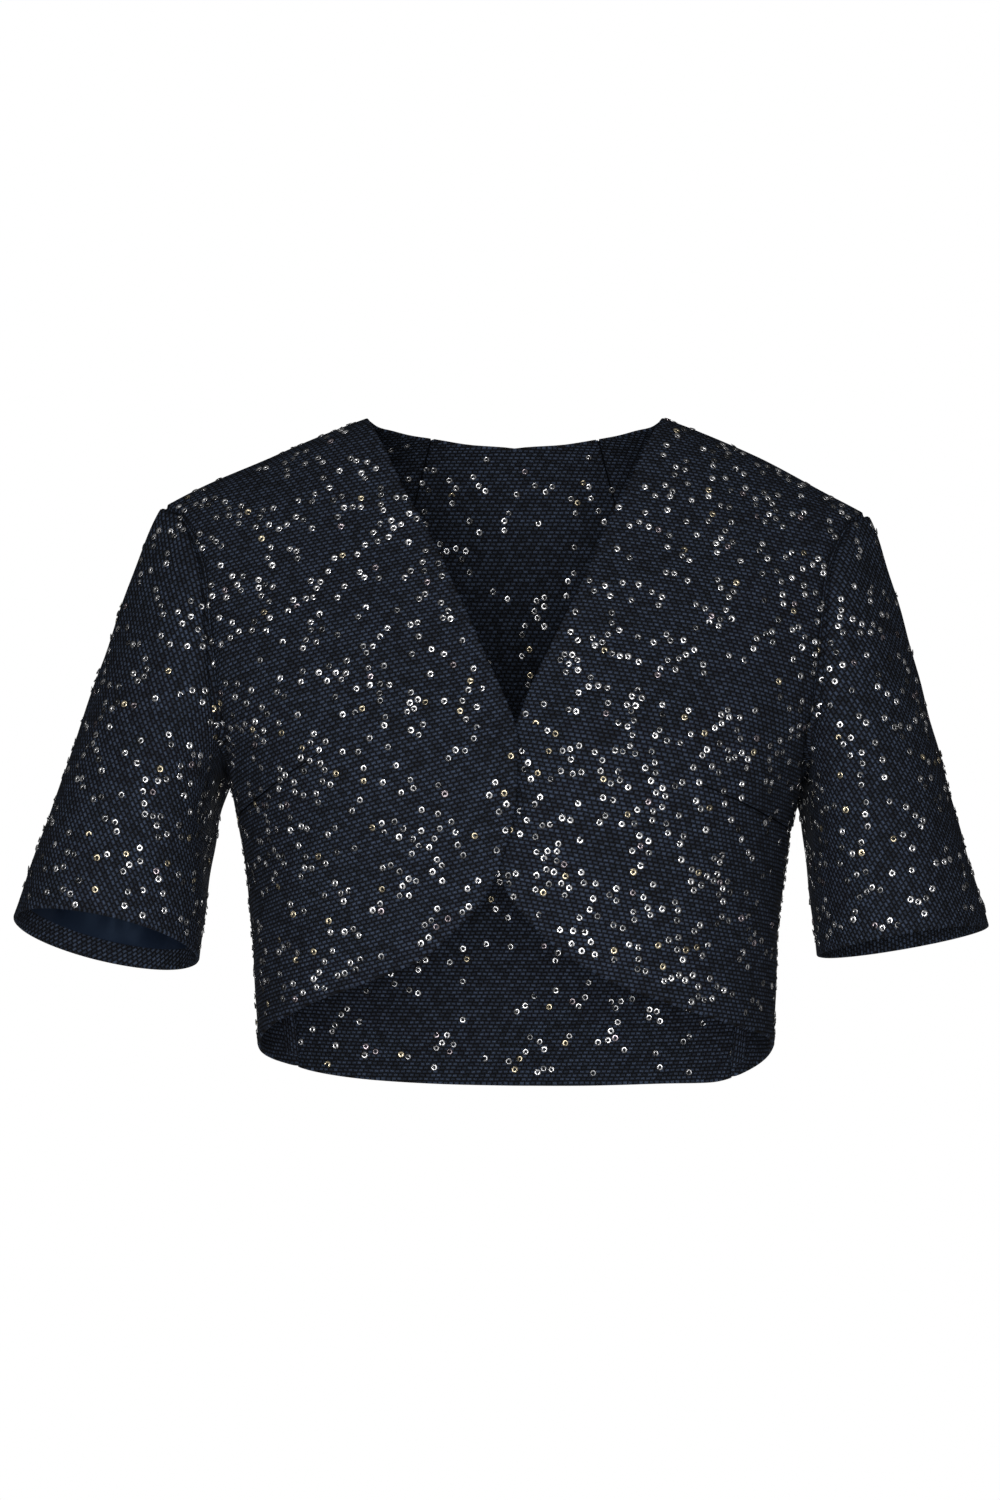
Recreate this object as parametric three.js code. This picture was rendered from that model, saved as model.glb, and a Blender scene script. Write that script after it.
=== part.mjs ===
// A cropped bolero with short set-in sleeves, in a thick navy weave, standing in the form that a wearer gives it.
// Millimetres, +Z up. The wearer faces -Y, so the wearer's left side is +X and the right side is -X.
// The origin is midway between the two neck points, where the neckline meets the shoulder seams.
// The two fronts curve away from a short overlap at the bust, and the back hem dips at its middle.
import * as THREE from "three";

// Driving dimensions
const CLOTH = 2.0; // wall of the folded and fused outer cloth
const LINING = 1.0; // wall of the satin sleeve lining
const SEAM_GAP = 0.3; // between pieces that are sewn together
const SLEEVE_GAP = 0.5; // from the armhole seam to the sleeve's wall
const NECK_POINT_X = 88.5; // from the centre to a neck point
const UNDERARM_LEVEL = 3; // the row of the form that passes under the arms
const TOP_LEVEL = 9; // the row of the form that is the shoulder seam
const SIDE_SEAM_HEM = 122; // degrees round from centre front
const SIDE_SEAM_TOP = 103;
const OVERLAP_RISE = 2.4; // how far each front steps off the form where they lap
const OVERLAP_FADE = 45; // the step is gone this far from the centre
const LINING_SETBACK = 12; // turned-up sleeve hem below the lining
const LEVEL_STEP = 20; // plots a level against degrees, so that curve lengths are even
const ROW_DIP = 140; // rows reach the top of the side seam from below, so that no cell folds at that corner
const SHOULDER_BOW = 0.5; // 0 would make the shoulder line straight

// The figure's outline, one row for each level from below the hem (0) to the shoulder seam (9).
// centre and side are heights on the centre line and at the side, width is half the width,
// depth is from the side to the centre, and full is the squareness of the section (2 is an ellipse).
const FRONT_FORM = [
  { centre: -410, side: -410, width: 150, depth: 97, full: 2.35 },
  { centre: -340, side: -340, width: 151.5, depth: 101, full: 2.35 },
  { centre: -277, side: -277, width: 156.5, depth: 110, full: 2.4 },
  { centre: -215, side: -215, width: 168, depth: 118, full: 2.4 },
  { centre: -162, side: -171, width: 194, depth: 106, full: 2.3 },
  { centre: -108, side: -141, width: 212, depth: 88, full: 2.2 },
  { centre: -58, side: -115, width: 226, depth: 65, full: 2.15 },
  { centre: -18, side: -99, width: 234, depth: 44, full: 2.4 },
  { centre: 10, side: -81, width: 238, depth: 22, full: 2.6 },
  { centre: 17.3, side: -71.1, width: 240, depth: 0, full: 2.6 },
];
const BACK_FORM = [
  { centre: -410, side: -410, width: 150, depth: 86, full: 2.35 },
  { centre: -340, side: -340, width: 151.5, depth: 87, full: 2.35 },
  { centre: -277, side: -277, width: 156.5, depth: 92, full: 2.4 },
  { centre: -215, side: -215, width: 168, depth: 98, full: 2.4 },
  { centre: -160, side: -171, width: 194, depth: 100, full: 2.4 },
  { centre: -102, side: -141, width: 212, depth: 96, full: 2.2 },
  { centre: -46, side: -115, width: 226, depth: 82, full: 2 },
  { centre: -8, side: -99, width: 234, depth: 61, full: 2 },
  { centre: 12, side: -81, width: 238, depth: 31, full: 2 },
  { centre: 17.3, side: -71.1, width: 240, depth: 0, full: 2 },
];

// Armhole seams, as degrees round from centre front at a level, from the underarm to the shoulder.
const FRONT_ARMHOLE = [
  { angle: 103, level: 3 },
  { angle: 93, level: 3.02 },
  { angle: 84.5, level: 3.08 },
  { angle: 77.5, level: 3.2 },
  { angle: 71.8, level: 3.38 },
  { angle: 67, level: 3.62 },
  { angle: 62.3, level: 4 },
  { angle: 58.2, level: 4.5 },
  { angle: 55.6, level: 5 },
  { angle: 52.2, level: 6 },
  { angle: 50.4, level: 7 },
  { angle: 51.9, level: 8 },
  { angle: 54.7, level: 8.5 },
  { angle: 55.9, level: 9 },
];
const BACK_ARMHOLE = [
  { angle: 103, level: 3 },
  { angle: 106.8, level: 3.1 },
  { angle: 109.8, level: 3.33 },
  { angle: 112, level: 3.65 },
  { angle: 114, level: 4 },
  { angle: 118, level: 4.5 },
  { angle: 121.1, level: 5 },
  { angle: 124.2, level: 6 },
  { angle: 125.3, level: 7 },
  { angle: 122.8, level: 8 },
  { angle: 121, level: 8.5 },
  { angle: 120.2, level: 9 },
];

// The inner edge of each front, seen from in front, from the foot of the overlap to the neck point.
// x is measured towards the front's own side, so a negative x has crossed the centre.
const OVER_FRONT_EDGE = [
  { x: 15, z: -283 },
  { x: 8.5, z: -268 },
  { x: 4, z: -252 },
  { x: 0.8, z: -235 },
  { x: 0, z: -215 },
  { x: 1, z: -192 },
  { x: 9, z: -171 },
  { x: 25, z: -134 },
  { x: 42, z: -95 },
  { x: 61, z: -57 },
  { x: 76, z: -25 },
  { x: NECK_POINT_X, z: 0 },
];
const UNDER_FRONT_EDGE = [
  { x: 2, z: -295 },
  { x: -5, z: -284 },
  { x: -11, z: -265 },
  { x: -13, z: -245 },
  { x: -12, z: -225 },
  { x: -6, z: -205 },
  { x: 2, z: -188 },
  { x: 10, z: -168 },
  { x: 22, z: -142 },
  { x: 34, z: -117 },
  { x: 47, z: -88 },
  { x: 62, z: -55 },
  { x: 77, z: -21 },
  { x: NECK_POINT_X, z: 0 },
];

// The cut-away hem of each front, from the foot of the overlap towards the side.
const OVER_FRONT_HEM = [
  { x: 15, z: -283 },
  { x: 24, z: -296 },
  { x: 40, z: -312 },
  { x: 57, z: -325 },
  { x: 85, z: -336 },
  { x: 114, z: -346 },
  { x: 134, z: -355 },
  { x: 150.3, z: -368.5 },
];
const UNDER_FRONT_HEM = [
  { x: 2, z: -295 },
  { x: 14.5, z: -309 },
  { x: 28, z: -320.5 },
  { x: 46.5, z: -332 },
  { x: 65, z: -340.5 },
  { x: 83, z: -346.5 },
  { x: 106, z: -354 },
  { x: 130, z: -360.5 },
  { x: 150.3, z: -369 },
];

// The back hem's height on the wearer's right and left, from the centre to the side seam's foot.
const BACK_HEM = [
  { x: 0, right: -391, left: -391 },
  { x: 45, right: -390, left: -391 },
  { x: 88, right: -387.5, left: -390 },
  { x: 118, right: -383.5, left: -389.5 },
];
const SIDE_HEM = { right: -380, left: -386.5 };
const BACK_NECK = [
  { x: 0, z: -8.5 },
  { x: 30, z: -6.6 },
  { x: 58, z: -3.8 },
  { x: 74, z: -1.8 },
  { x: 83, z: -0.9 },
  { x: NECK_POINT_X, z: 0 },
];

// How each sleeve hangs: the hem's centre, half width and half depth, how its plane leans and tips up in front,
// how far the sleeve stands off under the arm, and the lean of the arm with the extra lean of its outer side.
const SLEEVES = {
  right: { x: 238.5, y: -25, z: -310.5, width: 54.6, depth: 51.5, lean: 11.5, tip: 13.2, under: 46, arm: 14, flare: 5.5 },
  left: { x: 227.5, y: -8, z: -306.5, width: 49.8, depth: 56, lean: 9.4, tip: 2.5, under: 20, arm: 12, flare: 4.5 },
};
const SLEEVE_OUT = 42; // how strongly the sleeve leaves the armhole sideways, in front and behind
const SLEEVE_OUT_TOP = 20; // and at the shoulder
const SLEEVE_PUFF = 16; // how strongly it leaves the armhole's middle
const SLEEVE_PUFF_TOP = 2;
const SLEEVE_FALL = 190; // how straight the sleeve runs to its hem
const SHOULDER_TILT = 2.3; // the wearer's left shoulder is lower by this, and the right one higher
const TILT_FROM = 140; // beyond this far from the centre
const TILT_OVER = 50;

// Press stud that holds the overlap
const STUD_RADIUS = 3.5;
const STUD_THICK = 0.5;
const STUD_SINK = 0.2; // from the form to the middle of the overlap
const STUD_X = -6.7;
const STUD_Z = -238;

// Counts of cells in each piece's grid
const FRONT_CELLS = { across: 16, underarm: 12, armhole: 20 };
const BACK_CELLS = { neck: 7, shoulder: 7, underarm: 12, armhole: 18 };
const SLEEVE_CELLS = { along: 13, aboveLining: 3 };

const toRadians = THREE.MathUtils.degToRad;
const toDegrees = THREE.MathUtils.radToDeg;
const smooth = (t) => THREE.MathUtils.smoothstep(t, 0, 1);

// A column of a form's table at any level, through a cubic curve. Past the shoulder the form is mirrored.
function column(form, key, level) {
  const at = (row) => {
    if (row < 0) return form[0][key];
    if (row < form.length) return form[row][key];
    return key === "depth" ? -form[form.length - 2][key] : form[form.length - 2][key];
  };
  const row = Math.min(Math.floor(Math.max(level, 0)), form.length - 2);
  const t = level - row;
  const [before, from, to, after] = [at(row - 1), at(row), at(row + 1), at(row + 2)];
  const leave = (to - before) / 2;
  const arrive = (after - from) / 2;
  return (
    from +
    t * leave +
    t * t * (3 * (to - from) - 2 * leave - arrive) +
    t * t * t * (leave + arrive - 2 * (to - from))
  );
}

// How far a row has dropped from its centre height to its side height, at a share of its half width.
function drop(share) {
  const bow = (q) => Math.hypot(q, SHOULDER_BOW) - SHOULDER_BOW;
  return bow(share) / bow(1);
}

// The point of the figure at an angle round from centre front and a level. Angles under 0 cross the centre.
function onFigure(angle, level) {
  const form = angle <= 90 ? FRONT_FORM : BACK_FORM;
  const [centre, side, width, depth, full] = ["centre", "side", "width", "depth", "full"].map((key) =>
    column(form, key, level),
  );
  const sine = Math.sin(toRadians(angle));
  const cosine = Math.cos(toRadians(angle));
  const share = Math.sign(sine) * Math.abs(sine) ** (2 / full);
  const reach = Math.sign(cosine) * Math.abs(cosine) ** (2 / full);
  return new THREE.Vector3(
    width * share,
    -depth * reach,
    centre + (side - centre) * drop(Math.abs(share)),
  );
}

// The angle and level where the front, or the back, of the figure has this x and z.
function seenAt(x, z, form = FRONT_FORM) {
  let [low, high] = [0, TOP_LEVEL];
  const share = (level) => Math.min(Math.abs(x) / column(form, "width", level), 1);
  for (let step = 0; step < 40; step++) {
    const level = (low + high) / 2;
    const centre = column(form, "centre", level);
    const height = centre + (column(form, "side", level) - centre) * drop(share(level));
    if (height < z) low = level;
    else high = level;
  }
  const sine = share(low) ** (column(form, "full", low) / 2);
  const angle = Math.sign(x) * toDegrees(Math.asin(sine));
  return new THREE.Vector2(form === FRONT_FORM ? angle : 180 - angle, low * LEVEL_STEP);
}

const curveThrough = (points) => new THREE.SplineCurve(points);
const armholeCurve = (rows) =>
  curveThrough(rows.map((row) => new THREE.Vector2(row.angle, row.level * LEVEL_STEP)));
const edgeCurve = (rows, form) => curveThrough(rows.map((row) => seenAt(row.x, row.z, form)));

const sideTop = new THREE.Vector2(SIDE_SEAM_TOP, UNDERARM_LEVEL * LEVEL_STEP);
const sideFoot = (z) => new THREE.Vector2(SIDE_SEAM_HEM, seenAt(0, z).y);

// A hem from the table's rows on to the side seam.
function hemCurve(rows, foot, form) {
  return curveThrough([...rows.map((row) => seenAt(row.x, row.z, form)), foot]);
}

// Side seam below the share `split` of the piece's height, and armhole above it.
function outerEdge(armhole, split, foot) {
  return (v) =>
    v < split ? foot.clone().lerp(sideTop, v / split) : armhole.getPointAt((v - split) / (1 - split));
}

// Fills a four-sided patch of the figure from its edges, as u goes from the inner edge to the outer and v from
// foot to top.
// A higher power keeps the outer edge's shape from spreading inwards.
function patch(inner, outer, foot, top, power = 1) {
  const blend = (a, b, t) => a.clone().lerp(b, t);
  return (u, v) => {
    const w = u ** power;
    const across = blend(inner(v), outer(v), w);
    const up = blend(foot(u), top(u), v);
    const corners = blend(blend(inner(0), outer(0), w), blend(inner(1), outer(1), w), v);
    return across.add(up).sub(corners);
  };
}

// The direction out of a surface at a point of it. Round a sleeve it is taken over a wider stretch, which evens
// it out.
function normalAt(surface, u, v, round = false) {
  const step = 1e-4;
  const wide = 1e-2;
  const [left, right] = round ? [u - wide, u + wide] : [Math.max(u - step, 0), Math.min(u + step, 1)];
  const across = surface(right, v).sub(surface(left, v));
  const up = surface(u, Math.min(v + step, 1)).sub(surface(u, Math.max(v - step, 0)));
  return across.cross(up).normalize();
}

// A closed wall of even thickness on a surface, with half of it on each side.
function wall(surface, columns, rows, thick, round = false, normal = normalAt) {
  const points = [];
  const acrossCount = round ? columns.length - 1 : columns.length;
  for (const side of [1, -1]) {
    for (const v of rows) {
      for (const u of columns.slice(0, acrossCount)) {
        const out = normal(surface, u, v, round);
        points.push(surface(u, v).addScaledVector(out, (side * thick) / 2));
      }
    }
  }
  const layer = acrossCount * rows.length;
  const vertex = (i, j, side) => (side > 0 ? 0 : layer) + j * acrossCount + (i % acrossCount);
  const faces = [];
  const apart = (a, b) => points[a % layer].distanceTo(points[b % layer]);
  const quad = (a, b, c, d) => {
    if (apart(a, c) <= apart(b, d)) faces.push(a, b, c, a, c, d);
    else faces.push(a, b, d, b, c, d);
  };
  const last = rows.length - 1;
  const end = columns.length - 1;
  for (let i = 0; i < end; i++) {
    for (let j = 0; j < last; j++) {
      quad(vertex(i, j, 1), vertex(i + 1, j, 1), vertex(i + 1, j + 1, 1), vertex(i, j + 1, 1));
      quad(vertex(i, j, -1), vertex(i, j + 1, -1), vertex(i + 1, j + 1, -1), vertex(i + 1, j, -1));
    }
    quad(vertex(i, 0, 1), vertex(i, 0, -1), vertex(i + 1, 0, -1), vertex(i + 1, 0, 1));
    quad(vertex(i, last, 1), vertex(i + 1, last, 1), vertex(i + 1, last, -1), vertex(i, last, -1));
  }
  for (let j = 0; j < last && !round; j++) {
    quad(vertex(0, j, 1), vertex(0, j + 1, 1), vertex(0, j + 1, -1), vertex(0, j, -1));
    quad(vertex(end, j, 1), vertex(end, j, -1), vertex(end, j + 1, -1), vertex(end, j + 1, 1));
  }
  const geometry = new THREE.BufferGeometry().setFromPoints(points);
  geometry.setIndex(faces);
  return geometry;
}

const even = (count, from = 0, to = 1) =>
  Array.from({ length: count + 1 }, (_, i) => from + ((to - from) * i) / count);

// Lowers everything towards the wearer's left shoulder and raises everything towards the right one.
function posed(geometry) {
  const at = geometry.getAttribute("position");
  for (let i = 0; i < at.count; i++) {
    const x = at.getX(i);
    const tilt = Math.sign(x) * smooth((Math.abs(x) - TILT_FROM) / TILT_OVER);
    at.setZ(i, at.getZ(i) - SHOULDER_TILT * tilt);
  }
  return geometry;
}

// Swaps a geometry's left and right, and turns its faces to point outwards again.
function mirrored(geometry) {
  const copy = geometry.clone().scale(-1, 1, 1);
  const index = copy.getIndex();
  for (let i = 0; i < index.count; i += 3) {
    const second = index.getX(i + 1);
    index.setX(i + 1, index.getX(i + 2));
    index.setX(i + 2, second);
  }
  return copy;
}

const frontArmhole = armholeCurve(FRONT_ARMHOLE);
const backArmhole = armholeCurve(BACK_ARMHOLE);
const share = (cells) => cells.underarm / (cells.underarm + cells.armhole);
const FRONT_SPLIT = share(FRONT_CELLS); // the underarm's share of the front's height
const BACK_SPLIT = share(BACK_CELLS);

// One front on the +X side. The step puts it outside or inside the other front at the overlap.
function frontSurface(edgeRows, hemRows, step, side) {
  const edge = edgeCurve(edgeRows);
  const foot = sideFoot(SIDE_HEM[side]);
  const hem = hemCurve(hemRows, foot);
  const outer = outerEdge(frontArmhole, FRONT_SPLIT, foot);
  const shoulder = (u) => edge.getPointAt(1).lerp(outer(1), u);
  const cloth = patch((v) => edge.getPointAt(v), outer, (u) => hem.getPointAt(u), shoulder);
  return (u, v) => {
    const place = cloth(u, v);
    const near = v < FRONT_SPLIT ? v / FRONT_SPLIT : (1 - v) / (1 - FRONT_SPLIT);
    place.y -= ROW_DIP * near ** (v < FRONT_SPLIT ? 2 : 6) * (1 - u) * u ** 4;
    const at = onFigure(place.x, place.y / LEVEL_STEP);
    at.y -= SEAM_GAP / 2 + step * smooth(1 - at.x / OVERLAP_FADE);
    return at;
  };
}

// One half of the back, on the +X side, from the centre line to the armhole and side seam.
function backSurface(side) {
  const sideEnd = sideFoot(SIDE_HEM[side]);
  const hemRows = BACK_HEM.map((row) => ({ x: row.x, z: row[side] }));
  const foot = hemCurve(hemRows, sideEnd, BACK_FORM);
  const neck = edgeCurve(BACK_NECK, BACK_FORM);
  const neckShare = BACK_CELLS.neck / (BACK_CELLS.neck + BACK_CELLS.shoulder);
  const outer = outerEdge(backArmhole, BACK_SPLIT, sideEnd);
  const centreLine = (v) => foot.getPointAt(0).lerp(neck.getPointAt(0), v);
  const top = (u) =>
    u < neckShare
      ? neck.getPointAt(u / neckShare)
      : neck.getPointAt(1).lerp(outer(1), (u - neckShare) / (1 - neckShare));
  const cloth = patch(centreLine, outer, (u) => foot.getPointAt(u), top, 3);
  return (u, v) => {
    const place = cloth(u, v);
    const at = onFigure(place.x, place.y / LEVEL_STEP);
    at.y += SEAM_GAP / 2;
    return at;
  };
}

// Places on the armhole seam are given as a share of the way round it from the shoulder:
// 1/4 is in front, 1/2 under the arm and 3/4 behind. Here is the panel at a place, and the panel's v.
function panelAt(round, front, back) {
  const place = ((round % 1) + 1) % 1;
  const inFront = place <= 0.5;
  const upwards = Math.abs(1 - 2 * place);
  const split = inFront ? FRONT_SPLIT : BACK_SPLIT;
  return { surface: inFront ? front : back, v: split + upwards * (1 - split), upwards, inFront };
}

// The seam's own point, its direction, and the way in which the sleeve leaves it.
function seamPoint(round) {
  const { inFront, upwards } = panelAt(round);
  const at = (inFront ? frontArmhole : backArmhole).getPointAt(upwards);
  return onFigure(at.x, at.y / LEVEL_STEP);
}
function seamAlong(round) {
  const step = 1e-4;
  return seamPoint(round + step).sub(seamPoint(round - step)).normalize();
}
function sleeveLeaves(round, under) {
  const top = Math.max(Math.cos(2 * Math.PI * round), 0) ** 2;
  const below = Math.max(-Math.cos(2 * Math.PI * round), 0) ** 2;
  const out = SLEEVE_OUT + (SLEEVE_OUT_TOP - SLEEVE_OUT) * top + (under - SLEEVE_OUT) * below;
  const puff = SLEEVE_PUFF + (SLEEVE_PUFF_TOP - SLEEVE_PUFF) * top;
  const away = seamPoint(round).sub(ARMHOLE_MIDDLE).setX(0).normalize();
  return new THREE.Vector3(out, 0, 0).addScaledVector(away, puff);
}

// Both walls end along this direction, halfway between their own normals, so they meet face to face.
function seamNormal(round, { front, back, hang }) {
  const { surface, v, inFront } = panelAt(round, front, back);
  const panelOut = normalAt(surface, 1, v).multiplyScalar(inFront ? 1 : -1);
  const sleeveOut = seamAlong(round).cross(sleeveLeaves(round, hang.under)).normalize();
  const shared = panelOut.add(sleeveOut);
  return (v === 1 ? shared.setY(0) : shared).normalize();
}

function frontGeometry(side) {
  const rows = FRONT_CELLS.underarm + FRONT_CELLS.armhole;
  const normal = (surface, u, v) => {
    if (u === 1 && v >= FRONT_SPLIT) {
      return seamNormal((1 - (v - FRONT_SPLIT) / (1 - FRONT_SPLIT)) / 2, side);
    }
    const out = normalAt(surface, u, v);
    return v === 1 ? out.setY(0).normalize() : out;
  };
  return wall(side.front, even(FRONT_CELLS.across), even(rows), CLOTH, false, normal);
}

// The whole back. u runs from 0 at the +X armhole to 1 at the -X armhole, so that the outside faces +Y.
function backGeometry({ left, right }) {
  const half = BACK_CELLS.neck + BACK_CELLS.shoulder;
  const rows = BACK_CELLS.underarm + BACK_CELLS.armhole;
  const across = (u, v) => {
    const at = (u < 0.5 ? left : right).back(Math.abs(1 - 2 * u), v);
    return u < 0.5 ? at : at.setX(-at.x);
  };
  const normal = (surface, u, v) => {
    if ((u === 0 || u === 1) && v >= BACK_SPLIT) {
      const out = seamNormal((1 + (v - BACK_SPLIT) / (1 - BACK_SPLIT)) / 2, u === 0 ? left : right);
      return u === 0 ? out : out.setX(-out.x);
    }
    const out = normalAt(surface, u, v);
    const onShoulder = v === 1 && Math.abs(1 - 2 * u) * half >= BACK_CELLS.neck;
    return onShoulder ? out.setY(0).normalize() : out;
  };
  return wall(across, even(2 * half), even(rows), CLOTH, false, normal);
}

const ARMHOLE_MIDDLE = new THREE.Vector3(183, 4, -135);

// A sleeve's middle surface on the +X side: u goes round from the shoulder by the front, v from armhole to hem.
function sleeveSurface(side) {
  const { hang } = side;
  const lean = toRadians(hang.lean);
  const tip = toRadians(hang.tip);
  const hemMiddle = new THREE.Vector3(hang.x, hang.y, hang.z);
  const outward = new THREE.Vector3(Math.cos(lean), 0, Math.sin(lean));
  const forward = new THREE.Vector3(0, -Math.cos(tip), Math.sin(tip));
  const fall = (turn) => {
    const angle = toRadians(hang.arm + hang.flare * Math.cos(turn));
    return new THREE.Vector3(Math.sin(angle), 0, -Math.cos(angle)).multiplyScalar(SLEEVE_FALL);
  };
  return (u, v) => {
    const turn = 2 * Math.PI * u;
    const leave = sleeveLeaves(u, hang.under);
    const clear = seamNormal(u, side).cross(seamAlong(u)).normalize();
    const start = seamPoint(u).addScaledVector(clear, SLEEVE_GAP);
    const end = hemMiddle
      .clone()
      .addScaledVector(outward, hang.width * Math.cos(turn))
      .addScaledVector(forward, hang.depth * Math.sin(turn));
    return start
      .multiplyScalar(2 * v ** 3 - 3 * v ** 2 + 1)
      .addScaledVector(leave, v ** 3 - 2 * v ** 2 + v)
      .addScaledVector(end, 3 * v ** 2 - 2 * v ** 3)
      .addScaledVector(fall(turn), v ** 3 - v ** 2);
  };
}

// A sleeve's columns meet the panels' own rows at the armhole, and its last row is the turned-up hem.
const sleeveColumns = [
  ...even(FRONT_CELLS.armhole, 0, 0.5),
  ...even(BACK_CELLS.armhole, 0.5, 1).slice(1),
];
function sleeveRows(surface) {
  const length = surface(0, 0).distanceTo(surface(0, 1));
  return [...even(SLEEVE_CELLS.along, 0, 1 - LINING_SETBACK / length), 1];
}

function sleeveGeometry(surface, side) {
  const normal = (cloth, u, v) => (v === 0 ? seamNormal(u, side) : normalAt(cloth, u, v, true));
  return wall(surface, sleeveColumns, sleeveRows(surface), CLOTH, true, normal);
}

// The lining is made from the sleeve's own surface, moved inwards, and stops above the turned-up hem.
function liningGeometry(surface) {
  const inset = CLOTH / 2 + SEAM_GAP + LINING / 2;
  const inner = (u, v) => {
    const out = normalAt(surface, u, v, true);
    return surface(u, v).addScaledVector(out, -inset);
  };
  const normal = (_, u, v) => normalAt(surface, u, v, true);
  const rows = sleeveRows(surface).slice(SLEEVE_CELLS.aboveLining, -1);
  return wall(inner, sleeveColumns, rows, LINING, true, normal);
}

// One half of the press stud, a thin disc between the two fronts where they lap.
function studGeometry(offset) {
  const seen = seenAt(STUD_X, STUD_Z);
  const form = (u, v) => onFigure(seen.x + u - 0.5, seen.y / LEVEL_STEP + (v - 0.5) / LEVEL_STEP);
  const out = normalAt(form, 0.5, 0.5);
  const middle = form(0.5, 0.5).addScaledVector(out, offset);
  middle.y += STUD_SINK;
  const disc = new THREE.CylinderGeometry(STUD_RADIUS, STUD_RADIUS, STUD_THICK, 24);
  const turn = new THREE.Quaternion().setFromUnitVectors(new THREE.Vector3(0, 1, 0), out);
  return disc.applyQuaternion(turn).translate(middle.x, middle.y, middle.z);
}

const cloth = { color: 0x1b2333, roughness: 0.85, metalness: 0 };
const satin = { color: 0x16233a, roughness: 0.4, metalness: 0 };
const steel = { color: 0x22252b, roughness: 0.4, metalness: 0.8 };

function piece(name, geometry, finish) {
  const mesh = new THREE.Mesh(geometry, new THREE.MeshStandardMaterial(finish));
  mesh.name = name;
  return mesh;
}

const bolero = new THREE.Group();

const sides = {
  right: {
    front: frontSurface(OVER_FRONT_EDGE, OVER_FRONT_HEM, OVERLAP_RISE, "right"),
    back: backSurface("right"),
    hang: SLEEVES.right,
  },
  left: {
    front: frontSurface(UNDER_FRONT_EDGE, UNDER_FRONT_HEM, -OVERLAP_RISE, "left"),
    back: backSurface("left"),
    hang: SLEEVES.left,
  },
};
bolero.add(piece("back", posed(backGeometry(sides)), cloth));

for (const [name, side] of Object.entries(sides)) {
  const surface = sleeveSurface(side);
  const place = (geometry) => posed(name === "left" ? geometry : mirrored(geometry));
  bolero.add(piece(`front_${name}`, place(frontGeometry(side)), cloth));
  bolero.add(piece(`sleeve_${name}`, place(sleeveGeometry(surface, side)), cloth));
  bolero.add(piece(`sleeve_lining_${name}`, place(liningGeometry(surface)), satin));
}

const studOffset = STUD_THICK / 2 + SEAM_GAP / 2;
bolero.add(piece("press_stud_ball", studGeometry(studOffset), steel));
bolero.add(piece("press_stud_socket", studGeometry(-studOffset), steel));

export default bolero;
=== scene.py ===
import math

import bmesh
import bpy
import numpy as np
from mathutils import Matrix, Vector


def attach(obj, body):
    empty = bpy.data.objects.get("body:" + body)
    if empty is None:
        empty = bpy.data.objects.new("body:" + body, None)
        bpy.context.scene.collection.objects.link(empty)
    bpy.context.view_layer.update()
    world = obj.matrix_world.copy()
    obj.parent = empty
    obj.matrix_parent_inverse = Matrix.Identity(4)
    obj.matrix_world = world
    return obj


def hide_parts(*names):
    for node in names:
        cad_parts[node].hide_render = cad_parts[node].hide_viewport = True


# A cropped bolero with short set-in sleeves in a thick navy sequinned weave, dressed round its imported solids.
# The cloth is worked out here in millimetres from the same sizes as the solids, and made in metres.
# +Z is up, the wearer faces -Y, and the wearer's left is +X.
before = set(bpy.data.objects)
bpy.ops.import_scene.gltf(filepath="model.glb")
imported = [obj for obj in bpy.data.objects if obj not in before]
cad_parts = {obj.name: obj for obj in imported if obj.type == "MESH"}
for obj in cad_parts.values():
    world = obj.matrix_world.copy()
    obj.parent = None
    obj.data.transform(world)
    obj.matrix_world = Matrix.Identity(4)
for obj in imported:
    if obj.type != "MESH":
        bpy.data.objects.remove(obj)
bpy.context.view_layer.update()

MM = 0.001
CLOTH = 2.0
LINING = 1.0
SEAM_GAP = 0.3
SLEEVE_GAP = 0.5
NECK_POINT_X = 88.5
UNDERARM_LEVEL = 3
TOP_LEVEL = 9
SIDE_SEAM_HEM = 122
SIDE_SEAM_TOP = 103
OVERLAP_RISE = 2.4
OVERLAP_FADE = 45
LINING_SETBACK = 15
LEVEL_STEP = 20
ROW_DIP = 140
SHOULDER_BOW = 0.5
FRONT_SPLIT = 0.375  # the side seam's share of the height of a front, below its armhole
BACK_SPLIT = 0.4

# The worn form, one row for each level from below the hem to the shoulder seam: the height at its side and
# its half width, and then the height at its centre, the depth and the squareness, of the front and the back.
FORM = [
    (-410, 150, (-410, 97, 2.35), (-410, 86, 2.35)),
    (-340, 151.5, (-340, 101, 2.35), (-340, 87, 2.35)),
    (-277, 156.5, (-277, 110, 2.4), (-277, 92, 2.4)),
    (-215, 168, (-215, 118, 2.4), (-215, 98, 2.4)),
    (-171, 194, (-162, 106, 2.3), (-160, 100, 2.4)),
    (-141, 212, (-108, 88, 2.2), (-102, 96, 2.2)),
    (-115, 226, (-58, 65, 2.15), (-46, 82, 2)),
    (-99, 234, (-18, 44, 2.4), (-8, 61, 2)),
    (-81, 238, (10, 22, 2.6), (12, 31, 2)),
    (-71.1, 240, (17.3, 0, 2.6), (17.3, 0, 2)),
]
FORM_COLUMNS = ["side", "width", "centre", "depth", "full"]
FRONT_FORM = [(side, width, *front) for side, width, front, _ in FORM]
BACK_FORM = [(side, width, *back) for side, width, _, back in FORM]

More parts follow.
